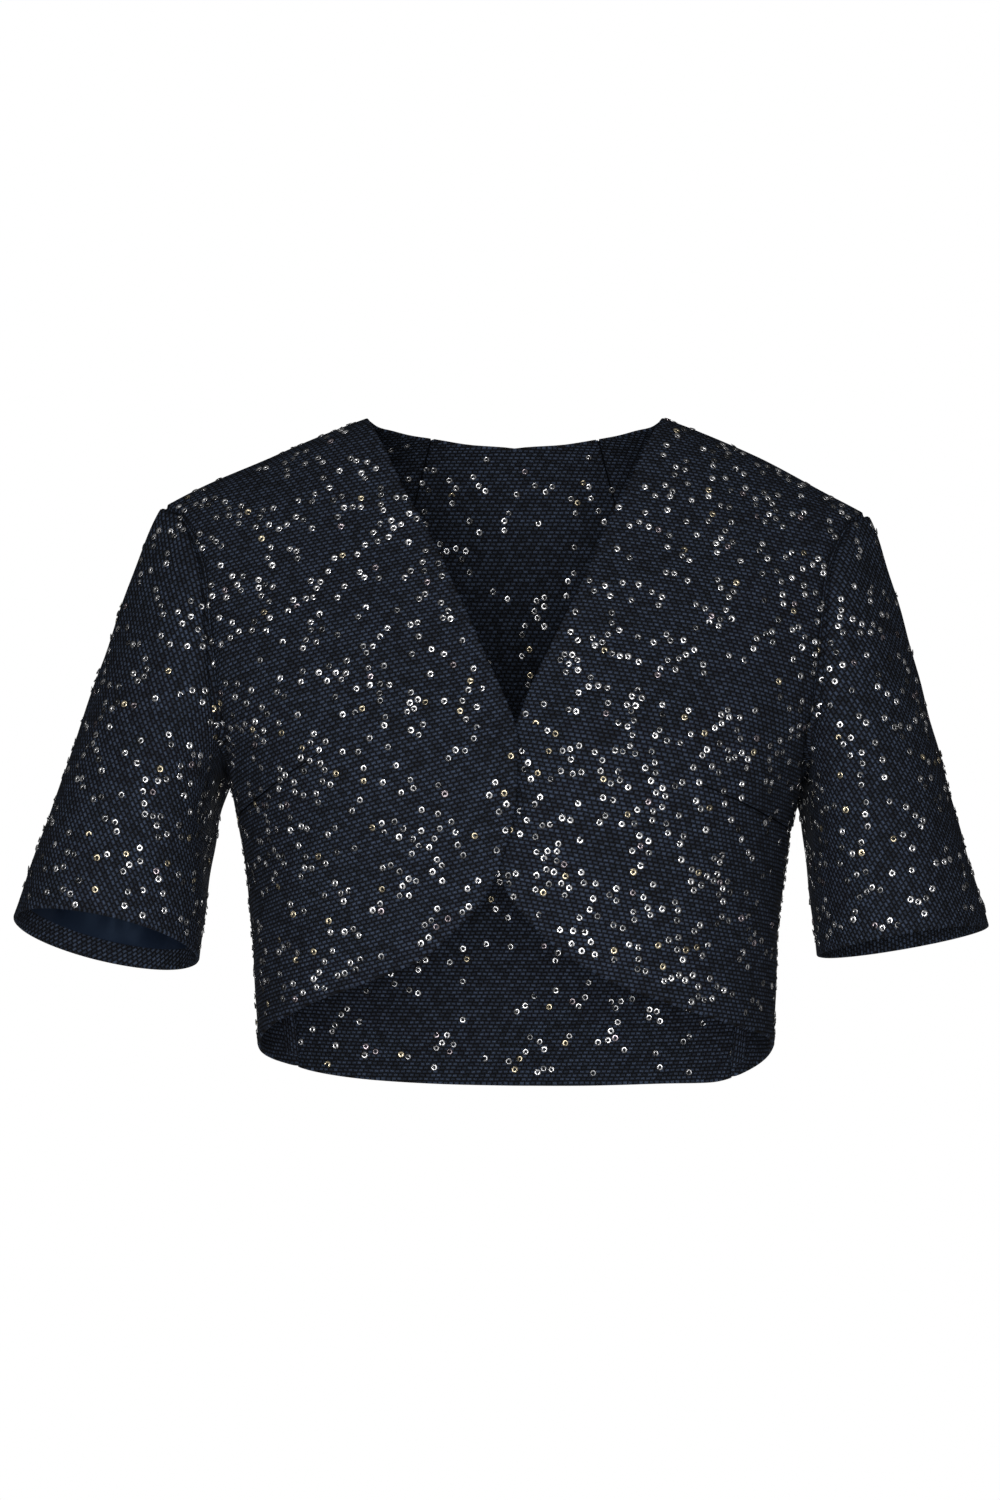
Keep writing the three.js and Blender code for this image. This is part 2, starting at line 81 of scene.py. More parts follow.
# Armhole seams, from the underarm to the shoulder: degrees round from centre front, and level.
FRONT_ARMHOLE = [
    (103, 3), (93, 3.02), (84.5, 3.08), (77.5, 3.2), (71.8, 3.38), (67, 3.62), (62.3, 4),
    (58.2, 4.5), (55.6, 5), (52.2, 6), (50.4, 7), (51.9, 8), (54.7, 8.5), (55.9, 9),
]
BACK_ARMHOLE = [
    (103, 3), (106.8, 3.1), (109.8, 3.33), (112, 3.65), (114, 4), (118, 4.5),
    (121.1, 5), (124.2, 6), (125.3, 7), (122.8, 8), (121, 8.5), (120.2, 9),
]

# Outlines seen from in front, x towards the piece's own side, and z. The wearer's right front is on top.
FRONT_EDGES = {
    "right": [
        (15, -283), (8.5, -268), (4, -252), (0.8, -235), (0, -215), (1, -192),
        (9, -171), (25, -134), (42, -95), (61, -57), (76, -25), (NECK_POINT_X, 0),
    ],
    "left": [
        (2, -295), (-5, -284), (-11, -265), (-13, -245), (-12, -225), (-6, -205), (2, -188),
        (10, -168), (22, -142), (34, -117), (47, -88), (62, -55), (77, -21), (NECK_POINT_X, 0),
    ],
}
FRONT_HEMS = {
    "right": [
        (15, -283), (24, -296), (40, -312), (57, -325),
        (85, -336), (114, -346), (134, -355), (150.3, -368.5),
    ],
    "left": [
        (2, -295), (14.5, -309), (28, -320.5), (46.5, -332), (65, -340.5), (83, -346.5),
        (106, -354), (130, -360.5), (150.3, -369),
    ],
}
BACK_HEMS = {
    "right": [(0, -391), (45, -390), (88, -387.5), (118, -383.5)],
    "left": [(0, -391), (45, -391), (88, -390), (118, -389.5)],
}
SIDE_HEM = {"right": -380, "left": -386.5}
BACK_NECK = [(0, -8.5), (30, -6.6), (58, -3.8), (74, -1.8), (83, -0.9), (NECK_POINT_X, 0)]

# How each sleeve hangs: its hem's centre, half width and half depth, lean and tip of the hem, how far it
# stands off underneath, and the lean of the sleeve with the extra lean of its outer side.
SLEEVES = {
    "right": dict(
        x=238.5, y=-25, z=-310.5, width=54.6, depth=51.5, lean=11.5, tip=13.2, under=46, arm=14, flare=5.5,
    ),
    "left": dict(
        x=227.5, y=-8, z=-306.5, width=49.8, depth=56, lean=9.4, tip=2.5, under=20, arm=12, flare=4.5,
    ),
}
SLEEVE_OUT = 42
SLEEVE_OUT_TOP = 20
SLEEVE_PUFF = 16
SLEEVE_PUFF_TOP = 2
SLEEVE_FALL = 190
SHOULDER_TILT = 2.3
TILT_FROM = 140
TILT_OVER = 50
ARMHOLE_MIDDLE = np.array([183.0, 4.0, -135.0])

# Counts of cells, and of steps in the search and along a curve
FRONT_ACROSS = 48
SIDE_ROWS = 36
ARMHOLE_ROWS = 60
BACK_NECK_CELLS = 30
SLEEVE_ROWS = 46
HEM_ROWS = 4
OVERLAP_CELLS = (0, 7)  # cells of a front that are cut finer by the overlap
FINER = 3
HALVINGS = 40
CURVE_MARKS = 201

# How the finished cloth looks close to
SEAM_SINK = 1.85  # the outside dips this far into each seam
SEAM_REACH = 1.4  # and is nearly level again this far from it
SEAM_CELLS = [0.6, 0.8, 0.92]  # where the last cell before a seam is cut, so that the dip is crisp
SEAM_DRAW = 1.8  # the whole cloth turns in at an armhole or side seam by this much
VALLEY = 2.4  # cloth on both sides of an armhole seam sinks this far under the arm
VALLEY_REACH = 7
VALLEY_LEAST = 0.4  # its share further up the armhole
VALLEY_FADE = 0.75  # how far up the armhole it has fallen to that share
SIDE_VALLEY = 0.6  # how far up the side seam it starts
SHOULDER_FADE = 0.1  # share of the armhole by the shoulder over which it ends
DRAW_LEAST = 0.2  # share of SEAM_DRAW that is left at the shoulder point
SEAM_CALM = 14  # creases fade out this far from the seams
FOLD_BULGE = 1.0  # round edge of a folded hem, neckline or front
ALLOWANCE_THICK = 0.8  # seam allowances, pressed flat inside
ALLOWANCE_GAP = 0.1
SEAM_COLUMNS = len(SEAM_CELLS) + 3  # columns of points in the last two cells before a seam
WOBBLE = 0.45  # slow unevenness of the cloth
WAVES = [(61, 0.4), (83, -1.1), (47, 1.9), (118, 2.6)]  # lengths and slants of its waves
CREASE_START = 0.3  # shares of a crease's length over which it sets in and dies away
CREASE_END = 0.4
LINING_TOP = 0.23  # the lining starts this far down the sleeve
LINING_PUFF = 2.4
LINING_PUFF_TOP = 0.35  # share of the puff at the lining's top
LINING_FOOT = 0.08  # share of its length that is drawn in to the hem
LINING_FOLDS = [(7, 0.7, 0.4, 0.9), (12, 0.5, 2.1, -1.3), (19, 0.25, 4.0, 2.2)]

# Darts at the bust, and at the back of the neck on both faces: x and z of the open end and of the tip, how
# deep the stitched line sinks, how far it reaches to each side, and whether it is on the outside.
DARTS = [
    ("front_right", (-162, -236), (-112, -206), 1.6, 1.3, True),
    ("front_left", (159, -244), (105, -224), 1.6, 1.3, True),
]
for turn in (-1, 1):
    DARTS.append(("back", (turn * 49.6, -3), (turn * 63.2, -48.5), 0.4, 1, True))
    DARTS.append(("back", (turn * 49.6, -3), (turn * 63.2, -48.5), 1.5, 1, False))
DART_ROOM = 6  # faces up to this far beyond a dart's reach are cut along it
DART_FADE = 0.5  # share of its length over which it dies away at the tip
# The dart's stitched line is a near-black band: partly thread, partly painted shade in the groove.
LINE_WIDTH = 0.8  # of a dart's stitched line

# Sequins
SEQUIN_SIDES = 10
SEQUIN_RADIUS = 2.0
SEQUIN_HOLE = 0.68
SEQUIN_CUP = 0.46
SEQUIN_THICK = 0.12
SEQUIN_LIFT = 0.04  # how far one stands off the cloth
SEQUIN_LEAN = 0.1
SEQUIN_DROOP = 0.06  # its face turns down a little, by its weight
SEQUIN_SIZES = (0.93, 1.05)
SEQUIN_CUPS = (0.35, 1.35)  # shares of the cup's usual depth
SEQUIN_SHINE = (0.3, 1.15)
SEQUINS_PER_MM2 = 0.008
SEQUIN_APART = 4.2
SEQUIN_LINK = (4.4, 6.5)
SEQUIN_CHAIN = 0.33  # chance that another follows close by
SEQUIN_SHARE = {"front_left": 1.08}  # pieces sewn more closely than the rest
INSIDE_SHARE = 0.5  # the inside of the back is sewn less closely
SEQUINS_BELOW = 2  # rows left bare below a shoulder seam
BARE_EDGE = 0.7  # share of a cell left bare at the other edges
SMALLEST_CELL = 1  # a smaller cell, right by a seam, is left bare
THREAD = 0.32
THREAD_PATH = [(0, 0, -0.35), (0.25, 0, 0.25), (1.1, 0, 0.48), (1.95, 0, 0.55), (2.25, 0, -0.5)]
THREAD_CORNERS = [(0, 1), (0.87, -0.5), (-0.87, -0.5)]
THREAD_SWAY = 0.9
NEIGHBOURS = [(a, b, c) for a in (-1, 0, 1) for b in (-1, 0, 1) for c in (-1, 0, 1)]
FOILS = [("#ececee", 0.66), ("#8f9092", 0.24), ("#dccfb2", 0.06), ("#b9aeb4", 0.04)]

WEAVE_ROW = 2.35  # height of a row of the weave
WEAVE_FLOAT = 3.4  # length of a float with its gap
WEAVE_STEP = -0.35  # share of a float by which each row is set on from the one below
PATTERN_UNIT = 4 * WEAVE_ROW
FIBRE = PATTERN_UNIT / 17  # unevenness of the yarn, drawn coarser than it is so that it shows
ROW_WAVE = PATTERN_UNIT / 1.6  # length of the slow waves in the rows
ROW_SWAY = 0.07  # and their height, in units of the pattern
WEAVE_RELIEF = 0.6
FLOOR = -1.35
ROOM_LIGHT = 0.07  # the studio round the object, against its white backdrop at 1

rng = np.random.default_rng(41)


def smooth(t):
    t = np.clip(t, 0, 1)
    return t * t * (3 - 2 * t)


def unit(vectors):
    return vectors / np.linalg.norm(vectors, axis=-1, keepdims=True)


# The worn form and the places on it

def through(before, start, end, after, t):
    """The smooth curve from start to end that heads for the places on either side of them, by its share."""
    leave = (end - before) / 2
    arrive = (after - start) / 2
    bend = 3 * (end - start) - 2 * leave - arrive
    ease = leave + arrive - 2 * (end - start)
    return start + t * leave + t**2 * bend + t**3 * ease


def column(form, name, level):
    """One measure of the form at a level, on a smooth curve through its rows, mirrored past the shoulder."""
    values = np.array([row[FORM_COLUMNS.index(name)] for row in form], float)
    past = -values[-2] if name == "depth" else values[-2]
    padded = np.concatenate([values[:1], values, [past]])
    row = np.clip(np.floor(level), 0, len(values) - 2).astype(int)
    return through(*(padded[row + k] for k in range(4)), level - row)


def drop(share):
    """How far a section has dropped from its centre height to its side height."""
    return (np.hypot(share, SHOULDER_BOW) - SHOULDER_BOW) / (math.hypot(1, SHOULDER_BOW) - SHOULDER_BOW)


def on_form(place):
    """The form's point at a place: its angle round from centre front, and its level times LEVEL_STEP."""
    angle, level = place[..., 0], place[..., 1] / LEVEL_STEP
    sine = np.sin(np.radians(angle))
    cosine = np.cos(np.radians(angle))
    found = []
    for form in (FRONT_FORM, BACK_FORM):
        side, width, centre, depth, full = (column(form, name, level) for name in FORM_COLUMNS)
        share = np.sign(sine) * np.abs(sine) ** (2 / full)
        reach = np.sign(cosine) * np.abs(cosine) ** (2 / full)
        height = centre + (side - centre) * drop(np.abs(share))
        found.append(np.stack([width * share, -depth * reach, height], axis=-1))
    return np.where((angle <= 90)[..., None], *found)


def seen_at(x, z, form=FRONT_FORM):
    """The angle, and the level plotted against it, where the front or back of the form has this x and z."""
    low, high = 0.0, float(TOP_LEVEL)
    for _ in range(HALVINGS):
        level = (low + high) / 2
        share = min(abs(x) / column(form, "width", level), 1)
        centre = column(form, "centre", level)
        if centre + (column(form, "side", level) - centre) * drop(share) < z:
            low = level
        else:
            high = level
    share = min(abs(x) / column(form, "width", low), 1)
    angle = math.copysign(math.degrees(math.asin(share ** (column(form, "full", low) / 2))), x)
    return angle if form is FRONT_FORM else 180 - angle, low * LEVEL_STEP


def curve_through(points):
    """A smooth curve through points, entered by the share of its length."""
    points = np.asarray(points, float)
    last = len(points) - 1

    def at(t):
        place = np.clip(t, 0, 1) * last
        i = np.floor(place).astype(int)
        w = (place - i)[..., None]
        return through(*(points[np.clip(i + k, 0, last)] for k in (-1, 0, 1, 2)), w)

    marks = np.linspace(0, 1, CURVE_MARKS)
    lengths = np.concatenate([[0], np.cumsum(np.linalg.norm(np.diff(at(marks), axis=0), axis=1))])
    return lambda share: at(np.interp(np.asarray(share, float) * lengths[-1], lengths, marks))


def outline(rows, form=FRONT_FORM, foot=None):
    """A curve on the form through the rows of an outline, and on to the side seam's foot."""
    places = [seen_at(x, z, form) for x, z in rows]
    return curve_through(places if foot is None else [*places, foot])


def lerp(a, b, t):
    return a + (b - a) * np.asarray(t)[..., None]


side_top = np.array([SIDE_SEAM_TOP, UNDERARM_LEVEL * LEVEL_STEP], float)
front_armhole = curve_through([(angle, level * LEVEL_STEP) for angle, level in FRONT_ARMHOLE])
back_armhole = curve_through([(angle, level * LEVEL_STEP) for angle, level in BACK_ARMHOLE])


def side_foot(side):
    return np.array([SIDE_SEAM_HEM, seen_at(0, SIDE_HEM[side])[1]])


def outer_edge(armhole, split, foot):
    """Side seam below the split of the height, and armhole above it."""
    def edge(v):
        v = np.asarray(v, float)
        above = armhole(np.clip((v - split) / (1 - split), 0, 1))
        return np.where((v < split)[..., None], lerp(foot, side_top, v / split), above)

    return edge


def patch(inner, outer, foot, top, power):
    """Fills four edges. A higher power keeps the outer edge's shape from spreading inwards."""
    def cloth(u, v):
        w = u**power
        corners = lerp(lerp(inner(0), outer(0), w), lerp(inner(1), outer(1), w), v)
        return lerp(inner(v), outer(v), w) + lerp(foot(u), top(u), v) - corners

    return cloth


def front_surface(side):
    """One front, on the +X side, by its share across from the front edge and its share of the height."""
    edge = outline(FRONT_EDGES[side])
    foot = side_foot(side)
    hem = outline(FRONT_HEMS[side], foot=foot)
    outer = outer_edge(front_armhole, FRONT_SPLIT, foot)
    cloth = patch(edge, outer, hem, lambda u: lerp(edge(1), outer(1), u), 1)
    step = OVERLAP_RISE if side == "right" else -OVERLAP_RISE

    def surface(u, v):
        place = cloth(u, v)
        below = v < FRONT_SPLIT
        near = np.where(below, v / FRONT_SPLIT, (1 - v) / (1 - FRONT_SPLIT))
        dip = ROW_DIP * near ** np.where(below, 2, 6) * (1 - u) * u**4
        at = on_form(place - dip[..., None] * [0, 1])
        at[..., 1] -= SEAM_GAP / 2 + step * smooth(1 - at[..., 0] / OVERLAP_FADE)
        return at

    return surface


def back_surface(side):
    """Half of the back, on the +X side, by its share across from the centre and its share of the height."""
    foot = outline(BACK_HEMS[side], BACK_FORM, side_foot(side))
    neck = outline(BACK_NECK, BACK_FORM)
    neck_share = BACK_NECK_CELLS / (BACK_NECK_CELLS + FRONT_ACROSS)
    outer = outer_edge(back_armhole, BACK_SPLIT, side_foot(side))

    def top(u):
        shoulder = lerp(neck(1), outer(1), np.clip((u - neck_share) / (1 - neck_share), 0, 1))
        return np.where((u < neck_share)[..., None], neck(np.clip(u / neck_share, 0, 1)), shoulder)

    cloth = patch(lambda v: lerp(foot(0), neck(0), v), outer, foot, top, 3)

    def surface(u, v):
        at = on_form(cloth(u, v))
        at[..., 1] += SEAM_GAP / 2
        return at

    return surface


def normal_at(surface, u, v):
    """The direction out of a panel on the +X side of the front."""
    step = 1e-4
    across = surface(np.minimum(u + step, 1), v) - surface(u - step, v)
    up = surface(u, np.minimum(v + step, 1)) - surface(u, v - step)
    return unit(np.cross(across, up))


# Armhole seams. A place on one is a share of the way round from the shoulder: 1/4 in front, 1/2 underneath.

def seam_point(share):
    share = np.mod(share, 1)
    upwards = np.abs(1 - 2 * share)
    front, back = on_form(front_armhole(upwards)), on_form(back_armhole(upwards))
    return np.where((share <= 0.5)[..., None], front, back)


def seam_along(share):
    return unit(seam_point(share + 1e-4) - seam_point(share - 1e-4))


def sleeve_leaves(share, under):
    """The way in which a sleeve leaves its armhole."""
    top = np.maximum(np.cos(2 * np.pi * share), 0) ** 2
    below = np.maximum(-np.cos(2 * np.pi * share), 0) ** 2
    out = SLEEVE_OUT + (SLEEVE_OUT_TOP - SLEEVE_OUT) * top + (under - SLEEVE_OUT) * below
    puff = SLEEVE_PUFF + (SLEEVE_PUFF_TOP - SLEEVE_PUFF) * top
    away = unit((seam_point(share) - ARMHOLE_MIDDLE) * [0, 1, 1])
    return away * puff[..., None] + out[..., None] * np.array([1.0, 0, 0])


def seam_normal(share, side):
    """Both walls of an armhole seam end along this direction, so that they meet face to face."""
    upwards = np.abs(1 - 2 * share)
    ahead = normal_at(fronts[side], np.ones_like(share), FRONT_SPLIT + upwards * (1 - FRONT_SPLIT))
    behind = -normal_at(backs[side], np.ones_like(share), BACK_SPLIT + upwards * (1 - BACK_SPLIT))
    panel_out = np.where((share <= 0.5)[..., None], ahead, behind)
    sleeve_out = unit(np.cross(seam_along(share), sleeve_leaves(share, SLEEVES[side]["under"])))
    shared = panel_out + sleeve_out
    shared[upwards == 1] *= [1, 0, 1]
    return unit(shared)


def sleeve_grid(side, shares, rows):
    """A sleeve's middle surface on the +X side, a row of points round it for each row from armhole to hem."""
    hang = SLEEVES[side]
    turn = 2 * np.pi * shares
    lean = math.radians(hang["lean"])
    tip = math.radians(hang["tip"])
    outward = np.array([math.cos(lean), 0, math.sin(lean)])
    forward = np.array([0, -math.cos(tip), math.sin(tip)])
    middle = np.array([hang["x"], hang["y"], hang["z"]], float)
    end = middle + np.outer(hang["width"] * np.cos(turn), outward)
    end = end + np.outer(hang["depth"] * np.sin(turn), forward)
    angle = np.radians(hang["arm"] + hang["flare"] * np.cos(turn))
    fall = SLEEVE_FALL * np.stack([np.sin(angle), 0 * angle, -np.cos(angle)], axis=-1)
    clear = unit(np.cross(seam_normal(shares, side), seam_along(shares)))
    start = seam_point(shares) + SLEEVE_GAP * clear
    v = rows[:, None, None]
    leave = sleeve_leaves(shares, hang["under"])
    return (
        start * (2 * v**3 - 3 * v**2 + 1)
        + leave * (v**3 - 2 * v**2 + v)
        + end * (3 * v**2 - 2 * v**3)
        + fall * (v**3 - v**2)
    )


# From a grid of points to a piece of cloth

def put(name, data):
    """A new object in the scene, with its mesh, light or camera."""
    item = bpy.data.objects.new(name, data)
    bpy.context.scene.collection.objects.link(item)
    return item


def cell_sides(grid):
    """The steps across and up from each cell's first corner."""
    return grid[:-1, 1:] - grid[:-1, :-1], grid[1:, :-1] - grid[:-1, :-1]


def flat_area(flat):
    across, up = cell_sides(flat)
    return abs((across[..., 0] * up[..., 1] - across[..., 1] * up[..., 0]).sum())


def outwards(grid, around=False):
    """The direction out of the cloth at each point of a grid."""
    if around:
        across = np.roll(grid, -1, axis=1) - np.roll(grid, 1, axis=1)
    else:
        across = np.gradient(grid, axis=1)
    return unit(np.cross(across, np.gradient(grid, axis=0)))


def mirrored(grid):
    """A grid of the other side, with its columns turned round so that it still faces outwards."""
    return grid[:, ::-1] * [-1, 1, 1]


def posed(points):
    """Lowers everything towards the wearer's left shoulder and raises everything towards the right one."""
    tilt = np.sign(points[..., 0]) * smooth((np.abs(points[..., 0]) - TILT_FROM) / TILT_OVER)
    return points - SHOULDER_TILT * tilt[..., None] * [0, 0, 1]


def wobble(grid):
    """Slow unevenness, from a few waves that cross."""
    height = np.zeros(grid.shape[:2])
    for length, slant in WAVES:
        wave = np.array([math.cos(slant), 0.7, math.sin(slant)]) * 2 * math.pi / length
        height += np.sin(grid @ wave + slant * 7)
    return WOBBLE * height / 2


def creased(grid, out, name, calm):
    """Moves cloth in and out by its creases and slow unevenness, except where it is calm along its seams."""
    depth = wobble(grid)
    for start, end, sink, reach in CREASES.get(name, []):
        a, b = np.array(start, float), np.array(end, float)
        along = b - a
        share = np.clip((grid - a) @ along / (along @ along), 0, 1)
        away = np.linalg.norm(grid - (a + share[..., None] * along), axis=-1)
        ends = smooth(share / CREASE_START) * smooth((1 - share) / CREASE_END)
        depth -= sink * ends * np.exp(-((away / reach) ** 2))
    return grid + out * (depth * (1 - calm))[..., None]


def flat_pattern(grid, grain):
    """The cloth laid flat, in millimetres, turned so that the weave's rows run the way of the grain."""
    level = np.array([math.cos(math.radians(grain)), 0, math.sin(math.radians(grain))])
    rows, columns = grid.shape[:2]
    index = np.arange(rows * columns).reshape(rows, columns)
    faces = np.stack([index[:-1, :-1], index[:-1, 1:], index[1:, 1:], index[1:, :-1]], axis=-1).reshape(-1, 4)
    mesh = bpy.data.meshes.new("pattern")
    mesh.from_pydata((grid.reshape(-1, 3) * MM).tolist(), [], faces.tolist())
    sheet = put("pattern", mesh)
    bpy.ops.object.select_all(action="DESELECT")
    sheet.select_set(True)
    bpy.context.view_layer.objects.active = sheet
    mesh.uv_layers.new(name="flat")
    bpy.ops.object.mode_set(mode="EDIT")
    bpy.ops.mesh.select_all(action="SELECT")
    bpy.ops.uv.unwrap(method="ANGLE_BASED", margin=0)
    bpy.ops.object.mode_set(mode="OBJECT")
    loops = np.zeros(len(mesh.loops) * 2)
    mesh.uv_layers["flat"].data.foreach_get("uv", loops)
    corner = np.zeros(len(mesh.loops), int)
    mesh.loops.foreach_get("vertex_index", corner)
    flat = np.zeros((rows * columns, 2))
    flat[corner] = loops.reshape(-1, 2)
    bpy.data.objects.remove(sheet)
    bpy.data.meshes.remove(mesh)
    flat = flat.reshape(rows, columns, 2)

    e1, e2 = cell_sides(grid)
    f1, f2 = cell_sides(flat)
    area = np.linalg.norm(np.cross(e1, e2), axis=-1)
    scale = math.sqrt(area.sum() / flat_area(flat))
    gram = np.stack([(e1 * e1).sum(-1), (e1 * e2).sum(-1), (e2 * e2).sum(-1)])
    want = np.stack([e1 @ level, e2 @ level])
    det = gram[0] * gram[2] - gram[1] ** 2
    along_1 = (gram[2] * want[0] - gram[1] * want[1]) / det
    along_2 = (gram[0] * want[1] - gram[1] * want[0]) / det
    heading = (area[..., None] * (f1 * along_1[..., None] + f2 * along_2[..., None])).sum((0, 1))
    c, s = unit(heading)
    flat = flat @ np.array([[c, -s], [s, c]]) * scale
    return flat - flat.min((0, 1))


def edge_walks(rows, columns, around):
    """Walks round the edges of a grid, with the cloth on their left. Each ends where it starts."""
    last = rows - 1
    if around:
        return [[(0, i) for i in range(columns + 1)], [(last, i) for i in range(columns, -1, -1)]]
    foot = [(0, i) for i in range(columns - 1)]
    right = [(j, columns - 1) for j in range(last)]
    top = [(last, i) for i in range(columns - 1, 0, -1)]
    left = [(j, 0) for j in range(last, -1, -1)]
    return [foot + right + top + left]


def cloth_piece(name, outside, inside, flat, bulge, around=False):
    """A closed wall between two grids, whose edge is round and stands out by the bulge at each place."""
    rows, columns = outside.shape[:2]
    count = rows * columns
    index = np.arange(count).reshape(rows, columns)
    points = [outside.reshape(-1, 3), inside.reshape(-1, 3)]
    faces, spots = [], []
    for j in range(rows - 1):
        for i in range(columns if around else columns - 1):
            k = (i + 1) % columns
            a, b, c, d = index[j, i], index[j, k], index[j + 1, k], index[j + 1, i]
            spot = [flat[j, i], flat[j, i + 1], flat[j + 1, i + 1], flat[j + 1, i]]
            faces.append((a, b, c, d))
            spots.extend(spot)
            faces.append((count + a, count + d, count + c, count + b))
            spots.extend([spot[0], spot[3], spot[2], spot[1]])
    total = 2 * count
    for walk in edge_walks(rows, columns, around):
        j, i = np.array(walk[:-1]).T
        i = i % columns
        high, low = outside[j, i], inside[j, i]
        middle = (high + low) / 2
        half = (high - low) / 2
        along = np.roll(middle, -1, axis=0) - np.roll(middle, 1, axis=0)
        away = unit(np.cross(along, half)) * bulge[j, i][:, None]
        rings = [index[j, i]]
        for turn in (45, 0, -45):
            points.append(middle + half * math.sin(math.radians(turn)) + away * math.cos(math.radians(turn)))
            rings.append(total + np.arange(len(j)))
            total += len(j)
        rings.append(count + index[j, i])
        for upper, lower in zip(rings[:-1], rings[1:]):
            for k in range(len(j)):
                ahead = (k + 1) % len(j)
                faces.append((upper[k], lower[k], lower[ahead], upper[ahead]))
                spots.extend([flat[walk[k]], flat[walk[k]], flat[walk[k + 1]], flat[walk[k + 1]]])
    mesh = bpy.data.meshes.new(name)
    mesh.from_pydata((np.concatenate(points) * MM).tolist(), [], faces)
    layer = mesh.uv_layers.new(name="flat")
    layer.data.foreach_set("uv", (np.array(spots) * MM).ravel())
    mesh.shade_smooth()
    return put(name, mesh)


def near_seams(grid, seams, reach):
    """Each seam's weight on it and 0 well away from it, by the distance along the grid's own lines."""
    step = np.pad(np.linalg.norm(np.diff(grid, axis=1), axis=-1), ((0, 0), (1, 0)))
    from_left = np.cumsum(step, axis=1)
    step = np.pad(np.linalg.norm(np.diff(grid, axis=0), axis=-1), ((1, 0), (0, 0)))
    from_foot = np.cumsum(step, axis=0)
    away = {
        "left": from_left,
        "right": from_left[:, -1:] - from_left,
        "foot": from_foot,
        "top": from_foot[-1:] - from_foot,
    }
    near = np.zeros(grid.shape[:2])
    for edge, weight in seams:
        near = np.maximum(near, weight * np.exp(-((away[edge] / reach) ** 2)))
    return near


# Creases, placed on each piece: where one starts and ends, how deep it sinks and how wide it is.
CREASES = {
    "front_right": [
        ((-170, -45, -214), (-112, -92, -272), 2.2, 15),
        ((-150, -30, -240), (-128, -84, -345), 1.6, 13),
        ((-163, -60, -185), (-96, -112, -196), 1.2, 14),
        ((-120, -60, -40), (-60, -88, -108), 0.7, 16),
        ((-3, -122, -185), (-9, -120, -300), -1.5, 6),
    ],
    "front_left": [
        ((170, -45, -218), (116, -92, -262), 2.6, 15),
        ((152, -30, -245), (106, -96, -318), 2.0, 14),
        ((163, -60, -190), (96, -112, -206), 1.3, 14),
        ((124, -60, -44), (66, -88, -112), 0.7, 16),
        ((3, -118, -162), (2, -118, -252), 5, 3.2),
        ((2.5, -118, -216), (-7, -113, -290), 6, 3.6),
    ],
    "back": [
        ((-160, 60, -190), (-70, 98, -262), 1.8, 17),
        ((162, 58, -196), (78, 96, -256), 1.6, 16),
        ((-120, 88, -330), (40, 92, -318), 1.1, 18),
        ((-150, 66, -110), (-96, 92, -160), 1.2, 15),
        ((150, 66, -116), (100, 92, -168), 1.3, 15),
        ((20, 78, -30), (-30, 96, -90), 0.7, 20),
    ],
    "sleeve_right": [
        ((-178, -50, -170), (-226, -72, -262), 1.3, 13),
        ((-184, -30, -215), (-210, -66, -300), 1.5, 12),
        ((-192, 48, -160), (-236, 24, -262), 1.7, 14),
        ((-182, 20, -215), (-214, 22, -300), 1.4, 12),
        ((-238, -20, -150), (-268, -30, -240), 0.7, 16),
    ],
    "sleeve_left": [
        ((178, -50, -176), (216, -62, -256), 1.2, 13),
        ((182, -30, -220), (198, -56, -300), 1.5, 12),
        ((192, 48, -166), (226, 38, -262), 1.6, 14),
        ((180, 20, -222), (200, 34, -300), 1.3, 12),
        ((236, -10, -156), (256, -12, -246), 0.6, 16),
    ],
}

# Directions of the weave's rows on each piece, in degrees up from the wearer's left
GRAIN = {"front_right": 10, "front_left": -6, "back": 180, "sleeve_right": -17, "sleeve_left": 14}
LINING_GRAIN = -90

fronts = {side: front_surface(side) for side in ("right", "left")}
backs = {side: back_surface(side) for side in ("right", "left")}
# Round an armhole from under the arm, by the back, the shoulder and the front
round_armhole = np.mod(0.5 + np.arange(2 * ARMHOLE_ROWS) / (2 * ARMHOLE_ROWS), 1)
seam_normals = {side: seam_normal(round_armhole, side) for side in ("right", "left")}
at_armhole = np.arange(SIDE_ROWS + ARMHOLE_ROWS + 1) >= SIDE_ROWS


def shoulder_fade(up):
    """Falls from 1 to 0 over the last of the way up an armhole."""
    return smooth((1 - up) / SHOULDER_FADE)


def valley_share(up):
    """The share of the valley by an armhole seam, deepest under the arm."""
    return (VALLEY_LEAST + (1 - VALLEY_LEAST) * smooth(1 - up / VALLEY_FADE)) * shoulder_fade(up)


def draw_share(up):
    return DRAW_LEAST + (1 - DRAW_LEAST) * shoulder_fade(up)


# The shares down a panel's rows, from the hem by the side seam and the armhole, and round a sleeve
up_armhole = np.linspace(0, 1, ARMHOLE_ROWS + 1)
up_side = np.arange(SIDE_ROWS) / SIDE_ROWS
side_valley = smooth((up_side - SIDE_VALLEY) / (1 - SIDE_VALLEY))
panel_valley = np.concatenate([side_valley, valley_share(up_armhole)])[:, None]
panel_draw = np.concatenate([np.ones(SIDE_ROWS), draw_share(up_armhole)])[:, None]
round_up = np.abs(1 - 2 * round_armhole)


def panel_rows(split):
    """Shares of the height of a panel's rows, up its side seam and then up its armhole."""
    return np.concatenate([
        np.linspace(0, split, SIDE_ROWS + 1)[:-1],
        np.linspace(split, 1, ARMHOLE_ROWS + 1),
    ])


def up_to_seam(cells, fine=(0, 0)):
    """Shares of the way across a panel, with its last cell before the seam and a span of cells cut finer."""
    inner = np.union1d(np.arange(cells), np.arange(fine[0] * FINER, fine[1] * FINER) / FINER)
    return np.concatenate([inner, cells - 1 + np.array(SEAM_CELLS), [cells]]) / cells


